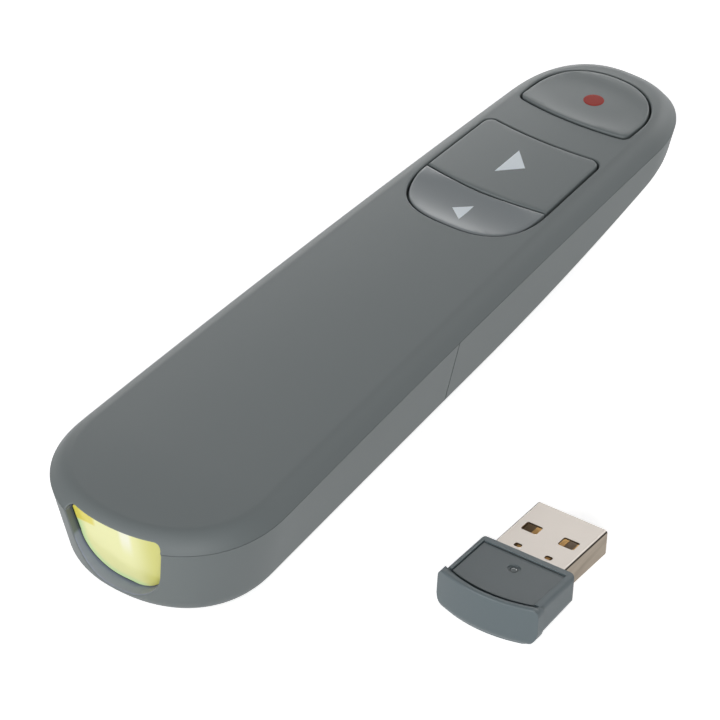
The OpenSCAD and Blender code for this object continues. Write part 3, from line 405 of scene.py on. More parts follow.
EDGE_STEPS, CROWN_STEPS, ARC_STEPS, BASE_STEPS = 12, 10, 10, 6
edge_parts = [i / EDGE_STEPS for i in range(EDGE_STEPS + 1)]
crown_shares = [1 - i / CROWN_STEPS for i in range(1, CROWN_STEPS + 1)]
arc_angles = [radians(DRAFT + (90 - DRAFT) * i / ARC_STEPS) for i in range(ARC_STEPS + 1)]
base_shares = [1 - i / BASE_STEPS for i in range(1, BASE_STEPS + 1)]
middle_stations = np.clip(stations, TAIL_CAP, STRAIGHT_END)


def cover_rings(inset, lift):
    """From just over the parting line, round the edge and over the crown."""
    rings = [ring(inset + EDGE_RUN * p, seam_z(stations) + lift * (1 - (1 - p) ** 2))
             for p in edge_parts[1:]]
    for share in crown_shares:
        level = seam_z(stations * share + middle_stations * (1 - share))
        rings.append(ring(inset + EDGE_RUN, level + lift + CROWN * (1 - share ** 2), share))
    return rings


def base_rings(thick):
    """From the leaning wall, round the base radius and across the base."""
    arc_low = BASE_RADIUS * (1 - sin(radians(DRAFT)))
    lean = (seam_z(stations) - base_z(stations) - arc_low) * tan(radians(DRAFT))
    bend = BASE_RADIUS - thick

    def at(angle, share=1.0):
        return ring(lean + BASE_RADIUS * cos(radians(DRAFT)) - bend * cos(angle),
                    base_z(stations) + BASE_RADIUS - bend * sin(angle), share, across=True)

    return [at(a) for a in arc_angles] + [at(arc_angles[-1], share) for share in base_shares]


def rim(inset, lift=0.0):
    """A ring along the parting line."""
    return ring(inset, seam_z(stations) + lift)


print("edge rings", len(edge_parts), "crown rings", len(crown_shares))

# %% [markdown]
# Two tools make meshes. `skin` lays a grid over a list of rings and closes it, and `block`
# is a box between two corners. Everything is deselected before a new shape is added,
# because an operator acts on all that is selected. `editing` takes care of that too: it
# enters edit mode for one piece, and leaves it when its lines are done.

# %% Making meshes
SKIN_MERGE = 0.000002


def only(piece):
    bpy.ops.object.select_all(action="DESELECT")
    piece.select_set(True)
    bpy.context.view_layer.objects.active = piece


@contextmanager
def editing(piece, action="SELECT"):
    """Edit mode for one piece. The action says what is done first to all of its mesh."""
    only(piece)
    bpy.ops.object.mode_set(mode="EDIT")
    if action:
        bpy.ops.mesh.select_all(action=action)
    yield
    bpy.ops.object.mode_set(mode="OBJECT")


def skin(name, rings):
    """A closed skin through rings, each a row of a grid. Open ends are filled flat."""
    bpy.ops.object.select_all(action="DESELECT")
    bpy.ops.mesh.primitive_grid_add(x_subdivisions=len(rings[0]), y_subdivisions=len(rings) - 1)
    made = bpy.context.object
    made.name = made.data.name = name
    rows = np.concatenate([np.vstack([r, r[:1]]) for r in rings]) * MM
    made.data.vertices.foreach_set("co", rows.astype(np.float32).ravel())
    with editing(made):
        bpy.ops.mesh.remove_doubles(threshold=SKIN_MERGE)
        bpy.ops.mesh.fill_holes(sides=0)
        bpy.ops.mesh.select_all(action="SELECT")
        bpy.ops.mesh.normals_make_consistent(inside=False)
    return made


def block(name, low, high):
    """A box between two corners in millimetres, used as a tool."""
    bpy.ops.object.select_all(action="DESELECT")
    bpy.ops.mesh.primitive_cube_add(size=1)
    made = bpy.context.object
    made.name = name
    for v in made.data.vertices:
        v.co = [(b if c > 0 else a) * MM for c, a, b in zip(v.co, low, high)]
    return made


print("meshes are made by skin and block")

# %% [markdown]
# The others work on meshes. `cut` and `keep_in` are booleans on closed solids, `join` puts
# pieces together, and `soften` shades by angle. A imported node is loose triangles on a
# body of the frame, so `copy_of` frees its copy and merges the corners.

# %% Working on meshes
COPY_MERGE = 0.000001


def apply(piece, kind, **settings):
    only(piece)
    modifier = piece.modifiers.new(kind.title(), kind)
    for key, value in settings.items():
        setattr(modifier, key, value)
    bpy.ops.object.modifier_apply(modifier=modifier.name)


def combine(piece, tool, operation, keep):
    apply(piece, "BOOLEAN", object=tool, operation=operation, solver="MANIFOLD")
    if not keep:
        bpy.data.objects.remove(tool)
    return piece


def cut(piece, tool, keep=False):
    return combine(piece, tool, "DIFFERENCE", keep)


def keep_in(piece, tool, keep=False):
    return combine(piece, tool, "INTERSECT", keep)


def join(piece, *others):
    only(piece)
    for other in others:
        other.select_set(True)
    bpy.ops.object.join()
    return piece


def twin(piece, name):
    made = piece.copy()
    made.data = piece.data.copy()
    made.name = made.data.name = name
    bpy.context.scene.collection.objects.link(made)
    return made


def copy_of(node, name="inside"):
    """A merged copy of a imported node, free of the frame."""
    made = twin(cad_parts[node], name)
    made.parent = None
    for key in list(made.keys()):
        del made[key]
    made.data.materials.clear()
    only(made)
    bpy.ops.mesh.customdata_custom_splitnormals_clear()
    with editing(made):
        bpy.ops.mesh.remove_doubles(threshold=COPY_MERGE)
    return made


def soften(piece, angle=30):
    only(piece)
    bpy.ops.object.shade_smooth_by_angle(angle=radians(angle))
    return piece


def faces(piece):
    return f"{piece.name}: {len(piece.data.polygons)} faces"


print("meshes are worked on by cut, keep_in, join and soften")

# %% [markdown]
# The cover and the lower casing are thin shells. Each is one skin that runs from the
# inside centre line, down the inner wall, across the rim and back up the outside.

# %% Cover and lower casing, still whole
cover = skin("casing_cover", [*cover_rings(WALL, EDGE_RISE - WALL)[::-1], rim(WALL, SEAM_GAP),
                              rim(0, SEAM_GAP), *cover_rings(0, EDGE_RISE)])
lower = skin("casing_lower", [*base_rings(WALL)[::-1], rim(WALL), rim(0), *base_rings(0)])
print(faces(cover), "|", faces(lower))

# %% [markdown]
# ## Openings with soft edges
#
# A moulded opening never has a knife edge. Instead of bevelling the rim after the cut,
# where a dense skin gives a bevel no room, the rounding is built into the tool that
# makes the cut: its outline flares out just under the surface. The outlines are drawn
# once, and `grown` moves one outwards along the mitre of its corners.

# %% Outlines
def grown(points, distance):
    """An outline, anticlockwise, moved outwards by a distance."""
    ahead = np.roll(points, -1, 0) - points
    ahead = ahead / np.linalg.norm(ahead, axis=1)[:, None]
    right = np.stack([ahead[:, 1], -ahead[:, 0]], 1)
    before = np.roll(right, 1, 0)
    mitre = (right + before) / (1 + (right * before).sum(1))[:, None]
    return points + distance * mitre


def rounded(points, radii, steps=8):
    """A polygon, anticlockwise, whose corners become arcs of the given radii."""
    out = []
    for i, corner in enumerate(points):
        if radii[i] == 0:
            out.append(corner)
            continue
        corner = np.array(corner)
        u = np.array(points[i - 1]) - corner
        v = np.array(points[(i + 1) % len(points)]) - corner
        u, v = u / np.linalg.norm(u), v / np.linalg.norm(v)
        half = math.acos(np.clip(u @ v, -1, 1)) / 2
        middle = corner + (u + v) / np.linalg.norm(u + v) * radii[i] / sin(half)
        start = corner + u * radii[i] / tan(half) - middle
        sweep = math.pi - 2 * half
        sign = -1 if u[0] * v[1] - u[1] * v[0] > 0 else 1
        for k in range(steps + 1):
            a = sign * sweep * k / steps
            out.append(middle + [start[0] * cos(a) - start[1] * sin(a),
                                 start[0] * sin(a) + start[1] * cos(a)])
    return np.array(out)


def arc_across(station, half, radius, steps, sag=0.0):
    """Points on an arc across the casing, from right to left, bulging to the tail."""
    centre = station + radius
    return [(x, centre - sqrt((radius - sag) ** 2 - x * x))
            for x in np.linspace(half, -half, steps + 1)]


def finely(points, step):
    """The same outline with no piece longer than a step."""
    out = []
    for a, b in zip(points, np.roll(points, -1, 0)):
        count = max(1, math.ceil(np.linalg.norm(b - a) / step))
        out += [a + (b - a) * k / count for k in range(count)]
    return np.array(out)


print("outline helpers are ready")

# %% [markdown]
# The two page keys share one opening, split by an arc. The next key is a curved band
# with two round far corners. The back key ends in a squarish oval, and so does the far
# end of the laser key, whose near end is slightly bowed. Their places are stations, in
# millimetres from the tail, and follow from the laser key's, one key after the other.

# %% Sizes of the keys
LASER_KEY_BACK, LASER_LENGTH, KEY_BRIDGE = 20.1, 14.7, 7.7
NEXT_LENGTH, BACK_LENGTH = 16.5, 9.8
KEY_HALF_WIDTH, NEXT_FAR_HALF_WIDTH = 10.95, 10.45
KEY_ARC, LASER_ARC = 42, 34
LASER_BOW, LASER_HALF_WIDTH = 9.6, 9.9
KEY_CORNER, SPLIT_CORNER = 1.3, 0.15
KEY_GAP, KEY_PROUD = 0.35, 0.25
BACK_POWER, LASER_POWER = 2.6, 2.2
ARC_PIECES, OVAL_STEP, OUTLINE_STEP = 8, 5, 0.8

laser_near = BODY_LENGTH - LASER_KEY_BACK
next_far = laser_near - KEY_BRIDGE
page_split = next_far - NEXT_LENGTH
split_end = page_split + KEY_ARC - sqrt(KEY_ARC ** 2 - KEY_HALF_WIDTH ** 2)
back_depth = split_end - page_split + BACK_LENGTH
laser_round = laser_near + LASER_LENGTH - LASER_BOW
print("page keys split at station", round(page_split, 2), "laser key starts at", laser_near)

# %% [markdown]
# An outline is put together from ends, each drawn once, because a key and its opening
# share them. Corner radii go with the points, and are 0 where the outline just bends.

# %% Key outlines
def arc_radii(corner):
    """Radii for an arc across the casing: only its two ends are rounded."""
    return [corner] + [0] * (ARC_PIECES - 1) + [corner]


def far_end():
    """The next key's far arc, from right to left, with its two round corners."""
    points = arc_across(next_far, NEXT_FAR_HALF_WIDTH, KEY_ARC, ARC_PIECES)
    return points, arc_radii(KEY_CORNER)


def next_outline():
    near = arc_across(page_split, KEY_HALF_WIDTH, KEY_ARC, ARC_PIECES, KEY_GAP / 2)[::-1]
    far, radii = far_end()
    return finely(rounded(near + far, arc_radii(SPLIT_CORNER) + radii), OUTLINE_STEP)


def oval(half, depth, power, station):
    """Half a squarish oval, from right to left. A negative depth bulges to the tail."""
    points = []
    for degrees in range(0, 181, OVAL_STEP):
        c, d = cos(radians(degrees)), sin(radians(degrees))
        points.append((half * math.copysign(abs(c) ** (2 / power), c),
                       station + depth * abs(d) ** (2 / power)))
    return points


def oval_end():
    """The back key's near end, from left to right."""
    return oval(KEY_HALF_WIDTH, -back_depth, BACK_POWER, split_end)[::-1]


def back_outline():
    top = arc_across(page_split, KEY_HALF_WIDTH, KEY_ARC, ARC_PIECES, -KEY_GAP / 2)
    return finely(np.array(oval_end()[1:-1] + top), OUTLINE_STEP)


def page_opening():
    far, radii = far_end()
    near = oval_end()
    return finely(grown(rounded(near + far, [0] * len(near) + radii), KEY_GAP), OUTLINE_STEP)


def laser_outline():
    near = arc_across(laser_near, LASER_HALF_WIDTH, LASER_ARC, ARC_PIECES)[::-1]
    far = oval(LASER_HALF_WIDTH, LASER_BOW, LASER_POWER, laser_round)
    return finely(rounded(near + far, arc_radii(KEY_CORNER) + [0] * len(far)), OUTLINE_STEP)


print("outlines:", len(next_outline()), len(back_outline()), len(laser_outline()), "points")

# %% [markdown]
# A tool has to follow the surface that it cuts. A ray sent on to the whole casing finds
# the skin at any place, so the flare keeps its depth over the crown and round the tail.
# The rounding is made of a few short steps. A ray that slips through the gap at the
# parting line is sent again a little higher or lower.

# %% Flared tools
FLARE_ANGLES = [radians(a) for a in (18, 36, 54, 72, 82)]
FAR = 100
PARTING_NUDGE = 0.3
MOUTH_RAISE = 3
WAYS = {  # where a tool from each side starts, for two coordinates, and which way it goes
    "above": (lambda x, s: (x, s - ORIGIN_STATION, FAR), (0, 0, -1)),
    "below": (lambda x, s: (x, s - ORIGIN_STATION, -FAR), (0, 0, 1)),
    "tail": (lambda x, z: (x, -ORIGIN_STATION - FAR, z), (0, 1, 0)),
    "front": (lambda x, z: (x, BODY_LENGTH - ORIGIN_STATION + FAR, z), (0, -1, 0)),
}

guides = [twin(cover, "cover_guide"), twin(lower, "lower_guide")]
bpy.context.view_layer.update()


def travel(start, inward, reach=2 * FAR):
    """How far a ray goes to the whole casing."""
    for nudge in (0, PARTING_NUDGE, -PARTING_NUDGE):
        origin = Vector(start + [0, 0, nudge * abs(inward[1])]) * MM
        found = [guide.ray_cast(origin, Vector(inward)) for guide in guides]
        gone = [(place - origin).length / MM for ok, place, _, _ in found if ok]
        if gone and min(gone) < reach:
            return min(gone)


def flared(name, points, side, end, radius, reach=2 * FAR):
    """A tool that cuts inwards to a depth measured from its start, with a rounded mouth."""
    start, inward = WAYS[side][0], np.array(WAYS[side][1], float)

    def level(grow, depth):
        starts = [np.array(start(u, v)) for u, v in grown(points, grow)]
        return np.array([p + inward * (travel(p, inward, reach) + depth) for p in starts])

    bottom = np.array([start(u, v) + inward * end for u, v in points])
    mouth = [level(radius * (1 - cos(a)), radius * (1 - sin(a))) for a in FLARE_ANGLES]
    return skin(name, [bottom, level(0, radius), *mouth, mouth[-1] - MOUTH_RAISE * inward])


RIM_RADIUS = 0.3
TOOL_FLOOR = 8
page_tool = flared("page_tool", page_opening(), "above", FAR - TOOL_FLOOR, RIM_RADIUS)
laser_tool = flared("laser_tool", grown(laser_outline(), KEY_GAP), "above", FAR - TOOL_FLOOR,
                    RIM_RADIUS)
print(faces(page_tool), "|", faces(laser_tool))

# %% [markdown]
# The opening in the tail runs across the parting line, so one tool cuts both casings.
# Its top edge is straight with tight corners, its lower corners are wide, and its
# sides lean in towards the bottom. The small opening at the laser end is a rounded slot.

# %% Tail and laser openings
TAIL_WINDOW_WIDTH, TAIL_WINDOW_LOW, LINTEL = 17.6, 2.4, 1.95
TAIL_WINDOW_LEAN, TAIL_WINDOW_CORNER, TAIL_WINDOW_ROUND = 10, 1.5, 7
TAIL_RIM, LASER_RIM = 0.35, 0.6
APERTURE_WIDTH, APERTURE_LOW, APERTURE_CORNER = 6.6, 9.2, 1.2
TAIL_DEPTH, LASER_DEPTH = 7.2, 4.5
END_REACH = FAR + 9  # a ray that goes on for longer has missed the outer skin
WINDOW_STEP = 0.6

tail_window_high = top_z(0) - LINTEL
window_lean = radians(TAIL_WINDOW_LEAN)
wide = TAIL_WINDOW_WIDTH / 2
narrow = wide - (tail_window_high - TAIL_WINDOW_LOW) * tan(window_lean)
tail_outline = finely(rounded(
    [(-narrow, TAIL_WINDOW_LOW), (narrow, TAIL_WINDOW_LOW), (wide, tail_window_high),
     (-wide, tail_window_high)],
    [TAIL_WINDOW_ROUND, TAIL_WINDOW_ROUND, TAIL_WINDOW_CORNER, TAIL_WINDOW_CORNER]), WINDOW_STEP)
tail_tool = flared("tail_tool", tail_outline, "tail", FAR + TAIL_DEPTH, TAIL_RIM, END_REACH)

aperture_high = top_z(BODY_LENGTH) - LINTEL
aperture_half = APERTURE_WIDTH / 2
aperture_outline = finely(rounded(
    [(-aperture_half, APERTURE_LOW), (aperture_half, APERTURE_LOW),
     (aperture_half, aperture_high), (-aperture_half, aperture_high)],
    [APERTURE_CORNER] * 4), WINDOW_STEP)
aperture_tool = flared("aperture_tool", aperture_outline, "front", FAR + LASER_DEPTH,
                       LASER_RIM, END_REACH)
print("tail opening reaches from", TAIL_WINDOW_LOW, "to", round(tail_window_high, 2), "mm")

# %% [markdown]
# The underside has three deep holes for the case screws and, on the door, three grooves
# that give a thumb a hold when it pushes the door off.

# %% Underside
SCREW_PLACES = [(-9, 68.2), (9, 68.2), (0, 115.05)]
COUNTERBORE, COUNTERBORE_RIM, THROUGH_WALL = 2.1, 0.25, WALL + 0.2
GROOVES, GROOVE_BACK, GROOVE_PITCH = 3, 9, 2.4
GROOVE_HALF, GROOVE_DEPTH, GROOVE_CORNER, GROOVE_RIM = 8, 0.45, 0.5, 0.15
CORNER_PIECES, DISC_POINTS = 4, 48


def disc(x, station, radius):
    return np.array([(x + radius * cos(a), station + radius * sin(a))
                     for a in np.linspace(0, 2 * math.pi, DISC_POINTS, endpoint=False)])


def groove(near):
    far = near + GROOVE_PITCH / 2
    corners = [(-GROOVE_HALF, near), (GROOVE_HALF, near), (GROOVE_HALF, far), (-GROOVE_HALF, far)]
    return finely(rounded(corners, [GROOVE_CORNER] * 4, CORNER_PIECES), OUTLINE_STEP)


screw_tools = [flared("screw_tool", disc(x, s, COUNTERBORE), "below",
                      FAR + base_z(s) + THROUGH_WALL, COUNTERBORE_RIM) for x, s in SCREW_PLACES]
groove_places = [DOOR_STATION - GROOVE_BACK + i * GROOVE_PITCH for i in range(GROOVES)]
groove_tools = [flared("groove_tool", groove(s), "below", FAR + GROOVE_DEPTH, GROOVE_RIM)
                for s in groove_places]
print("screw holes:", len(screw_tools), "grooves:", len(groove_tools))

# %% [markdown]
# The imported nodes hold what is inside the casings: the lip, the bosses, the posts, the
# lugs and the frame of the lens. A copy of each node, trimmed to just inside the wall,
# is joined to its new skin, so nothing of the construction is lost. The lower casing is
# split at one station into the door and the front shell, with a gap between them.

# %% Casings
INSIDE = 0.01
POCKET_LOW, POCKET_HIGH = -1, 30

gap_start = DOOR_STATION - DOOR_GAP / 2 - ORIGIN_STATION
gap_end = DOOR_STATION + DOOR_GAP / 2 - ORIGIN_STATION
within = WALL + INSIDE
cover_inside = skin("cover_inside", [ring(within, POCKET_LOW), rim(within),
                                     *cover_rings(within, EDGE_RISE - within)])
lower_inside = skin("lower_inside", [*base_rings(within)[::-1], rim(within),
                                     ring(within, POCKET_HIGH)])

for tool in (page_tool, laser_tool):
    cut(cover, tool)
for tool in (tail_tool, aperture_tool):
    cut(cover, tool, keep=True)
join(cover, keep_in(copy_of("top_cover"), cover_inside, keep=True))

door = twin(lower, "casing_door")
keep_in(door, block("door_space", (-FAR, -FAR, -FAR), (FAR, gap_start, FAR)))
for tool in (tail_tool, *groove_tools):
    cut(door, tool)
join(door, keep_in(copy_of("battery_door"), twin(lower_inside, "door_inside")))

shell = keep_in(lower, block("shell_space", (-FAR, gap_end, -FAR), (FAR, FAR, FAR)))
shell.name = "casing_front"
for tool in (aperture_tool, *screw_tools):
    cut(shell, tool)
join(shell, keep_in(copy_of("front_shell"), lower_inside))
print(faces(cover), "|", faces(door), "|", faces(shell))

# %% [markdown]
# Light would shine through the gap of the door. Two thin lips on the front shell stop
# nearly all of it. One reaches under the door's edge, just inside its wall. A shorter one
# fills the gap itself, at less than half the wall's depth. Both are bands of such rings.

# %% Lips behind the gap
LIP, LIP_GAP, LIP_REACH, LIP_ROOT = 0.6, 0.1, 1.0, 1.5
FILLER_GAP, FILLER_DEPTH = 0.05, 0.7
LIPS = [  # where a lip starts, and how deep it lies
    (gap_start - LIP_REACH, WALL + LIP_GAP),
    (gap_start + FILLER_GAP, FILLER_DEPTH),
]

for start, deep in LIPS:
    lip = skin("shell_lip", [*base_rings(deep + LIP)[::-1], rim(deep + LIP, -LIP),
                             rim(deep, -LIP), *base_rings(deep)])
    space = block("lip_space", (-FAR, start, -FAR), (FAR, gap_end + LIP_ROOT, FAR))
    join(shell, keep_in(lip, space))
for piece in (cover, door, shell):
    soften(piece)
print(faces(shell))

# %% [markdown]
# ## Keys
#
# A key starts as a plate with a rounded upper edge, drawn flat. It is then sliced along
# a fine grid, so that its top can bend, and every point is lifted on to the crown of the
# cover. The back key is hollowed by a trough for the thumb, which a soft minimum blends
# into the top. The laser key is hollowed by an oval dish with a flat middle, whose slope
# starts and ends gently, so its edge stays faint. The surfaces come first, as formulas.

# %% Surfaces of the keys
TROUGH_RADIUS, TROUGH_DEPTH = 19, 0.8
DISH_HALF, DISH_REACH, DISH_DEPTH, DISH_STATION = 12.5, 6.7, 0.4, 125.6
DISH_FLATNESS, DISH_BLEND = 4, 1.5
BLEND = 0.05


def crown_at(x, s):
    """Height of the whole cover."""
    start, inward = WAYS["above"]
    return FAR - travel(np.array(start(x, s)), inward)


def soft_min(a, b):
    low, high = min(a, b), max(a, b)
    return low - BLEND * math.log(1 + math.exp((low - high) / BLEND))


def plain_top(x, s):
    return crown_at(x, s) + KEY_PROUD


def trough_top(x, s):
    station = page_split - BACK_LENGTH / 2
    centre = top_z(station) + KEY_PROUD + TROUGH_RADIUS - TROUGH_DEPTH
    return soft_min(plain_top(x, s), centre - sqrt(TROUGH_RADIUS ** 2 - (s - station) ** 2))


def dish_top(x, s):
    spread = math.hypot(x / DISH_HALF, (s - DISH_STATION) / DISH_REACH)
    return plain_top(x, s) - DISH_DEPTH * max(0, 1 - spread ** DISH_FLATNESS) ** DISH_BLEND


print("crown over the next key", round(crown_at(0, next_far), 2), "mm high")

# %% [markdown]
# Now the plates. A key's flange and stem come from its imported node, trimmed to what lies
# under the cover.

# %% Keys
KEY_RIM, KEY_DEPTH, SLICE_STEP, KEY_SMOOTH = 0.35, 1.5, 0.9, 35
RIM_ANGLES = [radians(a) for a in (0, 22, 45, 67, 90)]


def slice_across(piece, step):
    """Cuts a flat plate along a grid of planes, so that it can bend."""
    places = np.array([v.co[:] for v in piece.data.vertices])
    low, high = places.min(0), places.max(0)
    with editing(piece):
        for axis, normal in ((0, (1, 0, 0)), (1, (0, 1, 0))):
            count = math.ceil((high[axis] - low[axis]) / (step * MM))
            for k in range(1, count):
                place = [0, 0, 0]
                place[axis] = low[axis] + (high[axis] - low[axis]) * k / count
                bpy.ops.mesh.select_all(action="SELECT")
                bpy.ops.mesh.bisect(plane_co=place, plane_no=normal)


def bend_onto(piece, surface):
    """Raises every point of a flat plate on to a surface."""
    for v in piece.data.vertices:
        v.co.z += surface(v.co.x / MM, v.co.y / MM + ORIGIN_STATION) * MM
    piece.data.update()


def plate(name, points, depth, radius, step):
    """A flat plate with its top at height 0 and a rounded upper edge."""

    def level(grow, z):
        return np.array([(x, s - ORIGIN_STATION, z) for x, s in grown(points, grow)])

    edge = [level(-radius * (1 - cos(a)), -radius * (1 - sin(a))) for a in RIM_ANGLES]
    made = skin(name, [level(0, -depth), *edge])
    slice_across(made, step)
    return made


def key(name, node, points, surface):
    made = plate(name, points, KEY_DEPTH, KEY_RIM, SLICE_STEP)
    bend_onto(made, surface)
    join(made, keep_in(copy_of(node), cover_inside, keep=True))
    soften(made, KEY_SMOOTH)
    print(faces(made))
    return made


next_key = key("next_cap", "next_key", next_outline(), plain_top)
back_key = key("back_cap", "back_key", back_outline(), trough_top)
laser_key = key("laser_cap", "laser_key", laser_outline(), dish_top)

# %% [markdown]
# ## Printed marks
#
# The keys carry a large triangle, a small triangle and a red dot. They are pad-printed
# on the real thing, and could be drawn in the keys' material. Here each is a very thin
# plate that lies on its key, so its edge stays crisp from any distance.

# %% Marks
INK = 0.02
INK_DEPTH, INK_RIM = 0.06, 0.01
MARK_STEP, MARK_SLICE = 0.4, 0.6
BIG_MARK = [(-1.15, 100.2), (2.25, 103.6), (-1.15, 107.0)]
SMALL_MARK = [(-1.65, 89.4), (0.95, 87.35), (0.95, 91.45)]
DOT_SIDE, DOT_STATION, DOT_RADIUS = 0.25, 126.05, 1.65


def mark(name, points, surface):
    made = plate(name, finely(points, MARK_STEP), INK_DEPTH, INK_RIM, MARK_SLICE)
    bend_onto(made, lambda x, s: surface(x, s) + INK)
    return soften(made)


next_mark = mark("next_triangle", np.array(BIG_MARK), plain_top)
back_mark = mark("back_triangle", np.array(SMALL_MARK), trough_top)
laser_mark = mark("laser_dot", disc(DOT_SIDE, DOT_STATION, DOT_RADIUS), dish_top)
for guide in guides:
    bpy.data.objects.remove(guide)
bpy.data.objects.remove(cover_inside)
print("marks:", faces(next_mark), faces(back_mark), faces(laser_mark))

# %% [markdown]
# ## The receiver
#
# The receiver lies on the floor, turned a little, and leans on its plug's tip, because
# its grip reaches lower than the plug. Its pieces follow that lie already. One thing has
# to be worked out from it: the groove between the grip and the lid, which looks like a
# dark line. It is cut by a bent bar, whose ends are lifted so that the groove gets
# shallower before it reaches the side, and leaves no notch in the outline.

# %% Groove of the receiver
RECEIVER_SIDE, RECEIVER_STATION, RECEIVER_TURN = 45.7, 51.4, 1.6
PLUG_LENGTH, PLUG_HEIGHT = 12.1, 4.5
HOUSING_LENGTH, HOUSING_ABOVE = 11.1, 0.25
GRIP_THICKNESS, GRIP_ARC, GRIP_BELOW, GRIP_WIDTH, GRIP_CORNER = 1.5, 22, 1.9, 17.1, 2.8
GRIP_LIP, LID_BORDER = 0.75, 0.2
SHADOW_DEPTH, SHADOW_LIFT, SHADOW_SWEEP = 0.6, 1.0, 28
SHADOW_TALL, SHADOW_POWER, SHADOW_POINTS = 3, 4, 41

receiver_y = RECEIVER_STATION - ORIGIN_STATION
grip_back = GRIP_ARC - GRIP_THICKNESS
grip_centre = GRIP_ARC - PLUG_LENGTH - HOUSING_LENGTH - GRIP_THICKNESS
grip_heel = sqrt(grip_back ** 2 - (GRIP_WIDTH / 2 - GRIP_CORNER) ** 2) - grip_centre
receiver_tilt = math.asin(GRIP_BELOW / grip_heel)
laid_down = (Matrix.Translation((RECEIVER_SIDE, receiver_y, 0))
             @ Matrix.Rotation(radians(RECEIVER_TURN), 4, "Z")
             @ Matrix.Rotation(-receiver_tilt, 4, "X"))


def grip_arc(radius, height, lift):
    """Points on an arc behind the grip, placed where the receiver lies, with lifted ends."""
    points = []
    for share in np.linspace(-1, 1, SHADOW_POINTS):
        angle = share * radians(SHADOW_SWEEP)
        level = height + lift * share ** SHADOW_POWER
        points.append(laid_down @ Vector((radius * sin(angle),
                                          grip_centre - radius * cos(angle), level)))
    return points


def shadow_tool():
    """A cutter for the groove between the grip and the lid, shallower at its ends."""
    low = PLUG_HEIGHT + HOUSING_ABOVE - SHADOW_DEPTH
    far, near = grip_back - LID_BORDER, GRIP_ARC - GRIP_LIP
    return skin("shadow_tool", [
        np.array(grip_arc(near, z, lift) + grip_arc(far, z, lift)[::-1])
        for z, lift in ((low, SHADOW_LIFT), (low + SHADOW_TALL, 0))])


print("the receiver leans by", round(math.degrees(receiver_tilt), 2), "degrees")

# %% [markdown]
# Its pieces have simple, exact shapes, so a merged copy of each needs only softer edges:
# flat neighbours are dissolved into single faces, and a bevel with a few segments rounds
# what is left. Weighted normals keep the large faces flat between their soft edges.

# %% Soft edges
FLAT_ANGLE, EDGE_ANGLE, EDGE_SEGMENTS = 0.5, 35, 3
HOUSING_EDGE, GROOVE_EDGE, LID_EDGE, INDICATOR_EDGE = 0.3, 0.08, 0.08, 0.05


def merged_copy(node, name):
    made = copy_of(node, name)
    with editing(made):
        bpy.ops.mesh.dissolve_limited(angle_limit=radians(FLAT_ANGLE))
    return made


def bevelled(made, width, segments=EDGE_SEGMENTS):
    apply(made, "BEVEL", width=width * MM, segments=segments, limit_method="ANGLE",
          angle_limit=radians(EDGE_ANGLE), miter_outer="MITER_ARC", use_clamp_overlap=True)
    return made


def edged(made, width, segments=EDGE_SEGMENTS):
    """Rounds the edges of a piece by a width in millimetres."""
    soften(bevelled(made, width, segments), EDGE_ANGLE)
    apply(made, "WEIGHTED_NORMAL", weight=100, keep_sharp=True)
    print(faces(made))
    return made


housing = bevelled(merged_copy("receiver_housing", "receiver_case"), HOUSING_EDGE)
housing = edged(cut(housing, shadow_tool()), GROOVE_EDGE)
lid = edged(merged_copy("receiver_lid", "receiver_cap"), LID_EDGE)
indicator = edged(merged_copy("receiver_light", "receiver_lamp"), INDICATOR_EDGE)

# %% [markdown]
# The housing gets its wide bevel before the groove is cut, because a bevel that meets
# the end of a groove pulls a horn out of the outline. The plug is stamped from sheet, so
# its edges are far finer. The corners of its punched windows are rounded too: they are
# the short upright edges that run through the metal, behind the plug's mouth.

# %% Plug
PLUG_METAL, METAL_SLACK, UPRIGHT = 0.3, 0.05, 0.95
PUNCH_CORNER, PUNCH_SEGMENTS, MOUTH_BAND = 0.32, 4, 1.0
SHEET_EDGE, TONGUE_EDGE, STRIP_EDGE, STRIP_SEGMENTS = 0.05, 0.1, 0.03, 2


def punched(made):
    """Rounds the corners of the windows that are punched in the plug's top and bottom."""
    behind_mouth = (receiver_y - MOUTH_BAND) * MM
    with editing(made, "DESELECT"):
        bpy.ops.mesh.select_mode(type="EDGE")
    points = [v.co for v in made.data.vertices]
    for edge in made.data.edges:
        start, end = (points[i] for i in edge.vertices)
        run = start - end
        upright = abs(run.z) > UPRIGHT * run.length
        through = abs(run.length / MM - PLUG_METAL) < METAL_SLACK
        edge.select = upright and through and start.y < behind_mouth
    with editing(made, None):
        bpy.ops.mesh.bevel(offset=PUNCH_CORNER * MM, segments=PUNCH_SEGMENTS, affect="EDGES")
    return made


plug_shell = edged(punched(merged_copy("usb_shell", "plug_shell")), SHEET_EDGE)
tongue = edged(merged_copy("usb_tongue", "plug_tongue"), TONGUE_EDGE)
strips = edged(merged_copy("usb_contacts", "plug_strips"), STRIP_EDGE, STRIP_SEGMENTS)

# %% [markdown]
# ## Lens and window
#
# The lens in the tail is a flat pane that leans back. The window in front of the laser is
# small and dark. Both need only a fine edge.

# %% Panes
LENS_EDGE, WINDOW_EDGE = 0.12, 0.1
tail_pane = edged(merged_copy("tail_lens", "tail_pane"), LENS_EDGE)
laser_pane = edged(merged_copy("laser_window", "laser_pane"), WINDOW_EDGE)

# %% [markdown]
# ## Case screws
#
# Only the heads of the case screws show, deep in their holes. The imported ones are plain,
# so each is trimmed off and a new head takes its place: a cylinder with a cross for the
# driver, cut by two bars, and a bevel that rounds both.

# %% Screw heads
HEAD_RADIUS, HEAD_HEIGHT, HEAD_SUNK, HEAD_EDGE = 1.82, 1.2, 0.8, 0.1
HEAD_OVERLAP, HEAD_SIDES = 0.1, 48
CROSS_REACH, CROSS_HALF, CROSS_DEPTH = 1.05, 0.26, 0.7
CLEAR = 1  # how far a cutter stands out below what it cuts

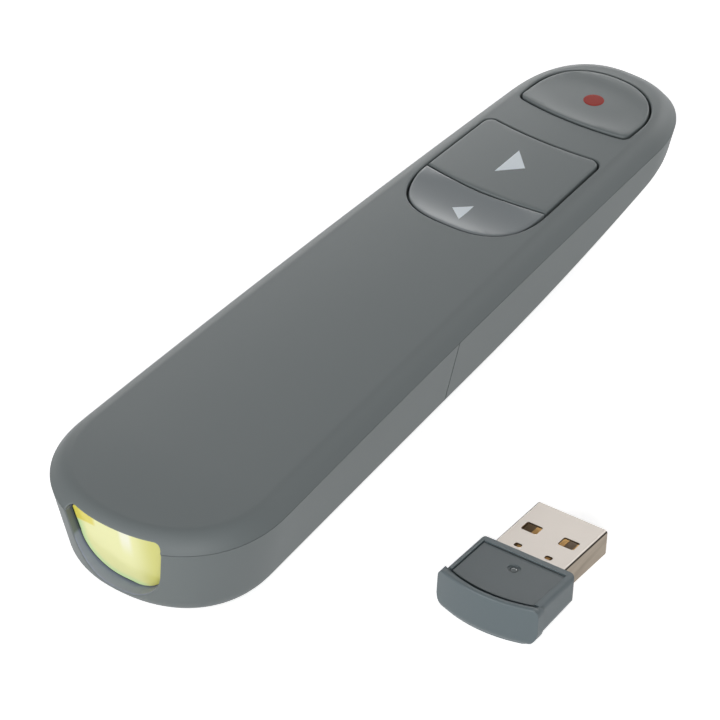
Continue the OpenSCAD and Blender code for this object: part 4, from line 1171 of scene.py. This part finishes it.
screws = copy_of("case_screws", "screw_set")
heads = []
for x, station in SCREW_PLACES:
    y, low = station - ORIGIN_STATION, base_z(station) + HEAD_SUNK
    cut(screws, block("head_space", (x - COUNTERBORE, y - COUNTERBORE, low - CLEAR),
                      (x + COUNTERBORE, y + COUNTERBORE, low + HEAD_HEIGHT - HEAD_OVERLAP)))
    bpy.ops.object.select_all(action="DESELECT")
    bpy.ops.mesh.primitive_cylinder_add(
        vertices=HEAD_SIDES, radius=HEAD_RADIUS * MM, depth=HEAD_HEIGHT * MM,
        location=Vector((x, y, low + HEAD_HEIGHT / 2)) * MM)
    head = bpy.context.object
    head.name = "screw_head"
    bpy.ops.object.transform_apply()
    for wide_x, wide_y in ((CROSS_REACH, CROSS_HALF), (CROSS_HALF, CROSS_REACH)):
        cut(head, block("driver_bar", (x - wide_x, y - wide_y, low - CLEAR),
                        (x + wide_x, y + wide_y, low + CROSS_DEPTH)))
    heads.append(edged(head, HEAD_EDGE))
soften(join(screws, *heads))
print(faces(screws))

# %% [markdown]
# ## Metals, glass and inks
#
# Metal shows its surroundings, so what makes it look real is where its shine changes: a noise that
# is stretched along one axis reads as brushing. The plug's steel is pale on top, and painted shade
# makes its sides darker and browner and the bend between them darker still. The surface's own normal
# tells the three apart.

# %% Metals
BRUSH_SCALE, SMEAR_SCALE, BRUSH_DETAIL = (60, 900, 900), (900, 90, 900), 3
METAL_SCALE, METAL_DRIFT = 120, 0.07
# painted shade for the plug's sides and for the bend between side and top
SIDE_SHADE_DARK, SIDE_SHADE_BROWN, BEND_SHADE = paint(98, 86, 70), paint(170, 158, 142), paint(42, 38, 34)
BEND_START, BEND_END, TOP_START = (0.2, 0.45), (0.65, 0.85), (0.35, 0.9)


def brushed(place, scale):
    """A noise that is stretched along one axis."""
    stretched = place.node("ShaderNodeMapping", Vector=place, Scale=scale)
    return noise(stretched, 1, BRUSH_DETAIL)


def metal(name, colour, roughness):
    """A metal with a faint brushed streak and a slight drift of tone."""
    made, shader, place = finish(name, colour, roughness, Metallic=1.0)
    streak = brushed(place, BRUSH_SCALE)
    feed(shader, "Roughness", roughness - SHINE_SPREAD / 2 + streak * SHINE_SPREAD)
    darker = tuple(c * (1 - METAL_DRIFT) for c in colour)
    feed(shader, "Base Color", mix(noise(place, METAL_SCALE), darker, colour))
    return made


def bent_steel(name, colour, roughness):
    """The plug's metal, with painted shade: darker and browner on its sides than on its top, and
    dark on the bend between.
    """
    made = metal(name, colour, roughness)
    shader, top, place = reopened(made)
    normal = place.node("ShaderNodeNewGeometry", out="Normal")
    upwards = place.node("ShaderNodeSeparateXYZ", out="Z", Vector=normal)
    upwards = upwards.math("ABSOLUTE", upwards)
    sides = mix(brushed(place, SMEAR_SCALE), SIDE_SHADE_DARK, SIDE_SHADE_BROWN)
    # painted shade: sides darker and browner, the bend darker still
    bend_shade_mask = rise(upwards, *BEND_START) * (1 - rise(upwards, *BEND_END))
    flat = mix(rise(upwards, *TOP_START), sides, top)
    feed(shader, "Base Color", mix(bend_shade_mask, flat, BEND_SHADE))
    return made


plug_steel = bent_steel("plug_steel", paint(190, 183, 176), 0.34)
contact_nickel = metal("contact_nickel", paint(200, 198, 190), 0.3)
barrel_brass = metal("barrel_brass", paint(196, 160, 96), 0.32)
screw_steel = metal("screw_steel", paint(150, 150, 152), 0.35)
cell_copper = grained("cell_copper", paint(176, 112, 58), 0.3, grain=0.1, drift=0.08, Metallic=0.7)
print("metals are ready")

# %% [markdown]
# Light bounces about inside the real plug. A faint glow of its tongue and of its strips
# stands in for that. The inks are matt, and their specular is turned down, so that the
# marks keep their colour in the low light that rakes over the keys.

# %% Glass, glowing pieces and inks
PLUG_GLOW = 0.7

laser_glass = grained("laser_glass", paint(205, 214, 222), 0.06, grain=0, drift=0.03, Coat_Weight=1)
gold_contact = grained("gold_contact", paint(214, 170, 98), 0.35, grain=0.1, drift=0.05,
                       Metallic=0.6, Emission_Color=paint(126, 100, 66),
                       Emission_Strength=PLUG_GLOW)
tongue_brown = grained("tongue_brown", paint(128, 100, 66), 0.45, grain=0.1, drift=0.08,
                       Emission_Color=paint(62, 54, 42), Emission_Strength=PLUG_GLOW)
white_ink = grained("white_ink", paint(241, 249, 255), 0.5, grain=0.1, drift=0.02,
                    Specular_IOR_Level=0.2)
red_ink = grained("red_ink", paint(153, 28, 6), 0.5, grain=0.1, drift=0.05, Specular_IOR_Level=0.15)
print("materials:", len(bpy.data.materials))

# %% [markdown]
# The lens is a dyed yellow pane with a thin clear coat, and light and shade are painted on to it. It
# is pale on the left, and painted shade makes it darker and greener on the right. It is mint towards
# the opening's left side and bottom, and a painted shadow lies along that edge as a dark green line.
# A pale streak is a painted reflection of a bright room that the real one mirrors, and a deep yellow
# patch at the top left is the painted shadow of the rim. Both look the same from every side. The
# masks are in millimetres, and those at the edge start from the opening's own outline: its leaning
# side, and the circle of its lower corner.

# %% Lens colours
# the dye of the lens, with painted shade, painted shadow and a painted reflection on it
LENS_PALE, LENS_SHADED_GREEN, LENS_RIM_SHADOW = paint(240, 240, 176), paint(212, 210, 112), paint(228, 216, 92)
LENS_MINT, LENS_EDGE_SHADOW, LENS_REFLECTION = paint(196, 236, 178), paint(24, 52, 28), paint(250, 250, 232)
LENS_ROUGHNESS, LENS_SPREAD, LENS_SCALE = 0.2, 0.06, 300
GREEN_SHADE_START, RIM_SHADOW_END, RIM_SHADOW_LOW = (1, 6.5), (-5.0, -4.2), (11.25, 11.75)
REFLECTION_START, REFLECTION_END, REFLECTION_LOW = (-0.5, 0.5), (1.4, 2.4), (7.5, 12)
MINT_START, EDGE_SHADOW_START = (-1.8, 0), (-0.42, -0.3)
MINT_SHARE, REFLECTION_SHARE = 0.85, 0.8

corner_high = TAIL_WINDOW_LOW + TAIL_WINDOW_ROUND
corner_side = narrow + TAIL_WINDOW_ROUND * (tan(window_lean) - 1 / cos(window_lean))


def past_wall(sideways, height):
    """How far a place lies past the opening's left side, its round corner or its bottom."""
    above = height.math("MAXIMUM", height - corner_high, 0)
    below = height.math("MINIMUM", height - corner_high, 0)
    beside = height.math("MINIMUM", sideways + above * tan(window_lean) + corner_side, 0)
    return (beside * beside + below * below) ** 0.5 - TAIL_WINDOW_ROUND


def dyed_lens_with_painted_light(name):
    made, shader, place = finish(name, LENS_PALE, LENS_ROUGHNESS, Coat_Weight=0.1)
    sideways, height = coordinate(place, "X"), coordinate(place, "Z")
    outside = past_wall(sideways, height)
    # painted shadow of the rim: a deep yellow patch at the top left
    deep = rise(height, *RIM_SHADOW_LOW) * (1 - rise(sideways, *RIM_SHADOW_END))
    # painted reflection: a pale upright streak
    streak = rise(sideways, *REFLECTION_START) * (1 - rise(sideways, *REFLECTION_END))
    # painted shade: darker and greener towards the right
    colour = mix(rise(sideways, *GREEN_SHADE_START), LENS_PALE, LENS_SHADED_GREEN)
    colour = mix(rise(outside, *MINT_START) * MINT_SHARE, colour, LENS_MINT)
    colour = mix(deep, colour, LENS_RIM_SHADOW)
    colour = mix(streak * rise(height, *REFLECTION_LOW) * REFLECTION_SHARE, colour, LENS_REFLECTION)
    # painted shadow: a dark green line along the opening's edge
    feed(shader, "Base Color", mix(rise(outside, *EDGE_SHADOW_START), colour, LENS_EDGE_SHADOW))
    feed(shader, "Roughness", LENS_ROUGHNESS + noise(place, LENS_SCALE) * LENS_SPREAD)
    return made


lens_yellow = dyed_lens_with_painted_light("lens_yellow")
print("lens corner circle at", round(-corner_side, 2), round(corner_high, 2), "mm")

# %% [markdown]
# The wall of the opening is lit on the real one, and here that light is painted: the door's material
# turns paler and bluer on the wall. It finds the wall by the same distance, which is 0 on the wall.
# The right half is mirrored on to the left for that.

# %% Painted light on the opening's wall
# painted light: the wall of the tail opening is painted paler and bluer
WALL_PAINTED_LIGHT = paint(140, 145, 166)
WALL_START, WALL_END, WALL_DEEP = (-0.25, -0.1), (0, 0.1), (-60, -58)


def paint_with_lit_wall(name):
    made = grained(name, **CASING_PAINT)
    shader, painted, place = reopened(made)
    mirrored = 0 - place.math("ABSOLUTE", coordinate(place, "X"))
    outside = past_wall(mirrored, coordinate(place, "Z"))
    # painted light on the wall, found by its distance from the opening's outline
    wall_light_mask = rise(outside, *WALL_START) * (1 - rise(outside, *WALL_END))
    wall_light_mask = wall_light_mask * (1 - rise(coordinate(place, "Y"), *WALL_DEEP))
    feed(shader, "Base Color", mix(wall_light_mask, painted, WALL_PAINTED_LIGHT))
    return made


door_grey = paint_with_lit_wall("door_grey")
print("materials:", len(bpy.data.materials))

# %% [markdown]
# ## Putting it together
#
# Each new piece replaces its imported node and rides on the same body. The nodes that are
# left keep their own mesh and get a finish.

# %% Ride and replace
PIECES = [
    (cover, "remote", ["top_cover"], soft_grey, "soft_grey"),
    (shell, "remote", ["front_shell"], soft_grey, "soft_grey"),
    (door, "door", ["battery_door"], door_grey, "soft_grey"),
    (tail_pane, "door", ["tail_lens"], lens_yellow, "lens_yellow"),
    (laser_pane, "remote", ["laser_window"], window_smoke, "window_smoke"),
    (screws, "remote", ["case_screws"], screw_steel, "screw_steel"),
    (next_key, "next_button", ["next_key"], key_grey, "key_grey"),
    (back_key, "back_button", ["back_key"], back_grey_painted_light, "key_grey"),
    (laser_key, "laser_button", ["laser_key"], key_grey, "key_grey"),
    (next_mark, "next_button", [], white_ink, "key_grey"),
    (back_mark, "back_button", [], white_ink, "key_grey"),
    (laser_mark, "laser_button", [], red_ink, "key_grey"),
    (housing, "receiver", ["receiver_housing"], receiver_grey, "receiver_grey"),
    (lid, "receiver", ["receiver_lid"], lid_grey, "receiver_grey"),
    (indicator, "receiver", ["receiver_light"], light_grey, "receiver_grey"),
    (plug_shell, "receiver", ["usb_shell"], plug_steel, "plug_steel"),
    (tongue, "receiver", ["usb_tongue"], tongue_brown, "inner_black"),
    (strips, "receiver", ["usb_contacts"], gold_contact, "gold_contact"),
]
for piece, body, nodes, material, slot in PIECES:
    piece.data.materials.clear()
    piece.data.materials.append(material)
    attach(piece, body)
    if nodes:
        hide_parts(*nodes)

NODE_FINISHES = [
    (inner_black, ["next_plunger", "back_plunger", "laser_plunger", "battery_tray"]),
    (board_green, ["circuit_board", "receiver_board"]),
    (chip_black, ["radio_chip", "receiver_chip"]),
    (contact_nickel, ["next_switch", "back_switch", "laser_switch", "crystal", "laser_diode"]),
    (contact_nickel, ["bridge_contact", "positive_contact", "negative_contact"]),
    (contact_nickel, ["rear_spring", "front_spring"]),
    (cell_copper, ["left_battery", "right_battery"]),
    (barrel_brass, ["laser_barrel"]),
    (laser_glass, ["laser_lens"]),
    (screw_steel, ["tray_screws"]),
]
for material, nodes in NODE_FINISHES:
    for node in nodes:
        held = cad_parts[node]
        held.data.materials.clear()
        held.data.materials.append(material)
print("pieces:", len(PIECES), "nodes finished:", sum(len(nodes) for _, nodes in NODE_FINISHES))
